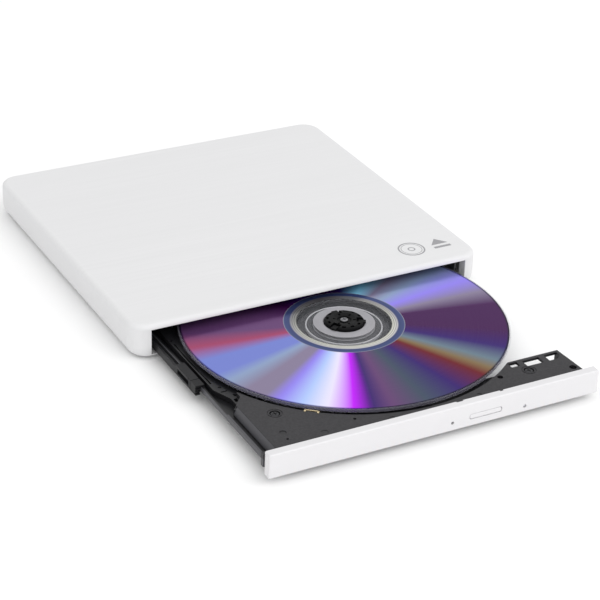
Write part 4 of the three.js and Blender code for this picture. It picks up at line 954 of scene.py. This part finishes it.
def claw(number):
    node = f"chuck_claw_{number}"
    x, y = DISC_CENTRE.x, DISC_CENTRE.y
    z = DISC_HIGH.z + 0.3
    profile = [(5.2, z), (7.5, z), (7.9, z + 0.2), (7.75, z + 0.4), (7.2, z + 0.5), (5.2, z + 0.5)]
    bm = bmesh.new()
    sides = [[bm.verts.new((px, py, pz)) for px, pz in profile] for py in (-1.1, 1.1)]
    count = len(profile)
    for i in range(count):
        j = (i + 1) % count
        bm.faces.new((sides[0][i], sides[0][j], sides[1][j], sides[1][i]))
    bm.faces.new(sides[0])
    bm.faces.new(list(reversed(sides[1])))
    spin = Matrix.Rotation(math.radians(CLAW_ANGLES[number - 1]), 4, "Z")
    turned(bm, Matrix.Translation((x, y, 0)) @ spin)
    piece(f"claw_tip_{number}", bm, f"claw_{number}", CHUCK_BLACK, [node], 0.12)


disc()
turntable()
for number in (1, 2, 3):
    claw(number)


# ------------------------------------------------------------------ tray

TRAY_LOW = span("tray")[0]
DECK = span("tray_screw_front_left")[1].z + 0.1
WELL_RADIUS = 61.4
WELL_FLOOR = 6.6
LEDGE = 7.0
HOOK_BOTTOM = 5.2
CLIP_RADIUS = 61.2
CLIP_ANGLE = math.radians(231)


def cad_copy(node):
    """A CAD node's shape as a start for a finer one."""
    bm = bmesh.new()
    bm.from_mesh(nodes[node].data)
    turned(bm, TO_ROW.inverted())
    bmesh.ops.remove_doubles(bm, verts=bm.verts, dist=0.002)
    bmesh.ops.dissolve_limit(bm, angle_limit=0.01, verts=bm.verts, edges=bm.edges)
    bmesh.ops.recalc_face_normals(bm, faces=bm.faces)
    return bm


def groove_ring(x, y, z, radius, width, depth):
    """Tool that cuts a round groove into a level surface at height z."""
    inner, outer = radius - width / 2, radius + width / 2
    profile = [(inner, z - depth), (outer, z - depth), (outer, z + 1), (inner, z + 1)]
    return lathe(profile, 32, x, y)


def screw_place(node):
    low, high = span(node)
    return (low.x + high.x) / 2, (low.y + high.y) / 2


def tray():
    body = cad_copy("tray")
    cx, cy = DISC_CENTRE.x, DISC_CENTRE.y
    # Round wall of the disc's well with a chamfer above it
    wall = WELL_RADIUS + 0.1
    inside = WELL_RADIUS - 1
    rim = [
        (inside, WELL_FLOOR + 0.1), (wall, WELL_FLOOR + 0.1), (wall, DECK - 0.3), (wall + 0.4, DECK + 0.1),
        (wall + 0.4, DECK + 1), (inside, DECK + 1),
    ]
    rim = lathe(rim, 180, cx, cy)
    # Rings round the screws, ejector pin marks and sink marks
    marks = [
        groove_ring(*screw_place("tray_screw_front_left"), DECK, 2.5, 0.3, 0.2),
        groove_ring(*screw_place("tray_screw_front_right"), DECK, 2.5, 0.3, 0.2),
        drum(-38.5, -79.2, DECK - 0.12, DECK + 1, 1.4),
        drum(-14, -81.0, DECK - 0.12, DECK + 1, 1.1),
        drum(20.5, -80.6, DECK - 0.12, DECK + 1, 1.1),
    ]
    # Grooves and holes in the ledge at the left of the well
    panel = [
        block(-58.5, -57.9, -34, -4, WELL_FLOOR - 0.5, LEDGE + 1),
        block(-57.4, -55.0, -40.6, -40.0, WELL_FLOOR - 0.5, LEDGE + 1),
        drum(-58.2, -1.5, WELL_FLOOR - 0.4, LEDGE + 1, 0.6, 16),
        drum(-56.6, -37.4, LEDGE - 0.3, LEDGE + 1, 0.7, 16),
    ]
    # The hook beside the bezel ends above the tray's underside
    left, front = TRAY_LOW.x, TRAY_LOW.y
    hook = block(left - 1, left + 3.9, front - 1, front + 2, HOOK_BOTTOM - 4, HOOK_BOTTOM)
    body = carve(body, [rim], marks, [hook], *[[tool] for tool in panel])
    piece("tray_moulding", body, "tray", TRAY_LOOK, ["tray"], 0.12, 30)


def tray_screw(node):
    low, high = span(node)
    x, y = screw_place(node)
    z = high.z
    profile = [
        (0, low.z), (0.5, low.z), (0.6, low.z + 0.3), (0.6, z - 0.5), (1.4, z - 0.5), (1.5, z - 0.35),
        (1.42, z - 0.12), (1.1, z), (0, z),
    ]
    body = carve(lathe(profile, 32, x, y), *phillips(x, y, z, 1.5, 0.3, 0.66))
    piece(f"{node}_turned", body, "tray", SCREW_DARK, [node])


def edge_clip():
    """Bent strip of sprung brass at the disc's edge."""
    cx, cy = DISC_CENTRE.x, DISC_CENTRE.y
    strip = [
        block(-2.6, 2.6, -0.25, 0.25, 0, 1.2, 0.08),
        block(-2.6, -1.9, -1.2, 0.3, 0.9, 1.2, 0.08),
        block(1.9, 2.6, -1.2, 0.3, 0.9, 1.2, 0.08),
    ]
    x = cx + CLIP_RADIUS * math.cos(CLIP_ANGLE)
    y = cy + CLIP_RADIUS * math.sin(CLIP_ANGLE)
    stand = Matrix.Translation((x, y, 7.3)) @ Matrix.Rotation(CLIP_ANGLE + math.pi / 2, 4, "Z")
    bm = turned(join(strip), stand)
    piece("edge_clip_strip", bm, "tray", BRASS, ["disc_edge_clip"])


tray()
edge_clip()
for corner in ("front_left", "front_right", "back_left"):
    tray_screw(f"tray_screw_{corner}")


# ------------------------------------------------------------------ rails


def rails():
    body = cad_copy("rail_left")
    low, high = span("rail_left")
    notch = [block(low.x - 1, low.x + 0.25, low.y + 1.4, low.y + 1.7, low.z + 0.4, high.z + 1)]
    body = carve(body, notch)
    piece("rail_left_channel", body, "rail_left", BLACK, ["rail_left"], 0.1, 30)
    ribbed = cad_copy("rail_left_end_block")
    piece("rail_left_stop", ribbed, "rail_left", DEEP_BLACK, ["rail_left_end_block"], 0.1, 30)


def bay_stop():
    """Black moulded stop at the right of the tray's opening, under the drive's lid."""
    low, high = span("drive_chassis")
    stop = block(high.x - 1.3, high.x - 0.52, low.y + 5, low.y + 13, 6.4, 11.3, 0.15)
    piece("bay_stop_right", stop, "case", DEEP_BLACK)


rails()
bay_stop()


# ------------------------------------------------------------------ pieces that keep their CAD shape

KEPT = (
    (STEEL, ("drive_chassis", "drive_lid", "tray_under_cover", "spindle_motor", "sled_motor")),
    (BRIGHT, ("guide_rod_left", "guide_rod_right", "lead_screw", "latch_post", "latch_pin", "latch_plunger")),
    (DARK_STEEL, ("rail_right", "traverse_plate")),
    (DEEP_BLACK, ("fixed_guide_left", "fixed_guide_right", "pickup_sled", "latch_lever", "ribbon_socket")),
    (BOARD, ("main_board", "usb_bridge_board", "front_board")),
    (CHIP, ("controller_chip", "usb_bridge_chip", "data_connector")),
    (RUBBER, ("damper_near_left", "damper_near_right", "damper_middle")),
    (AMBER, ("ribbon_lower", "ribbon_fold", "ribbon_upper")),
    (BRASS, ("latch_magnet",)),
    (LENS, ("objective_lens",)),
    (SWITCH, ("eject_switch",)),
)
for look, names in KEPT:
    # The ribbon cable is thin, so its edges are rounded less
    width = 0.02 if look is AMBER else 0.08
    for name in names:
        node = nodes[name]
        node.data.materials.clear()
        node.data.materials.append(look)
        round_edges(node, width)


# ------------------------------------------------------------------ floor, light and camera


def floor():
    bm = bmesh.new()
    bmesh.ops.create_grid(bm, x_segments=8, y_segments=8, size=12)
    mesh = bpy.data.meshes.new("floor")
    bm.to_mesh(mesh)
    bm.free()
    obj = bpy.data.objects.new("floor", mesh)
    bpy.context.scene.collection.objects.link(obj)
    surface = Surface("floor_pale", (0.93, 0.93, 0.93), 0.9)
    surface.vary(0.006, 3.0)
    mesh.materials.append(surface.material)


def area_light(name, place, target, size, watts):
    light = bpy.data.lights.new(name, "AREA")
    light.shape = "SQUARE"
    light.size = size
    light.energy = watts
    obj = bpy.data.objects.new(name, light)
    bpy.context.scene.collection.objects.link(obj)
    obj.location = place
    obj.rotation_mode = "QUATERNION"
    obj.rotation_quaternion = (Vector(target) - Vector(place)).to_track_quat("-Z", "Y")


# The photograph's view: where the camera stands, in metres, and how it is turned, in radians
CAMERA_PLACE = Vector((-0.306702, -0.546761 + CASE_FRONT * MM, 0.349667))
CAMERA_YAW = 0.5028
CAMERA_PITCH = 0.4973
CAMERA_ROLL = 0.036
CAMERA_LENS = 116.89


def camera():
    data = bpy.data.cameras.new("camera")
    data.sensor_width = 36
    data.lens = CAMERA_LENS
    data.clip_start = 0.05
    data.clip_end = 40
    obj = bpy.data.objects.new("camera", data)
    bpy.context.scene.collection.objects.link(obj)
    level = math.cos(CAMERA_PITCH)
    forward = Vector((math.sin(CAMERA_YAW) * level, math.cos(CAMERA_YAW) * level, -math.sin(CAMERA_PITCH)))
    right = Vector((math.cos(CAMERA_YAW), -math.sin(CAMERA_YAW), 0))
    up = right.cross(forward)
    right, up = (
        math.cos(CAMERA_ROLL) * right + math.sin(CAMERA_ROLL) * up,
        math.cos(CAMERA_ROLL) * up - math.sin(CAMERA_ROLL) * right,
    )
    turn = Matrix((right, up, -forward)).transposed()
    obj.matrix_world = Matrix.Translation(CAMERA_PLACE) @ turn.to_4x4()
    bpy.context.scene.camera = obj


def world():
    made = bpy.data.worlds.new("studio")
    made.use_nodes = True
    background = made.node_tree.nodes["Background"]
    background.inputs["Color"].default_value = (1.0, 1.0, 1.0, 1)
    background.inputs["Strength"].default_value = 0.92
    bpy.context.scene.world = made


floor()
world()
area_light("key", (0.55, -0.75, 0.9), (0, 0, 0), 1.2, 4.5)
area_light("top", (0.0, 0.1, 1.2), (0, 0, 0), 1.4, 1)
area_light("front", (-0.35, -1.3, 0.55), (0, 0, 0), 1.2, 4)
camera()
scene = bpy.context.scene
scene.view_settings.view_transform = "Standard"
scene.view_settings.look = "None"
scene.cycles.max_bounces = 8
scene.cycles.transparent_max_bounces = 8
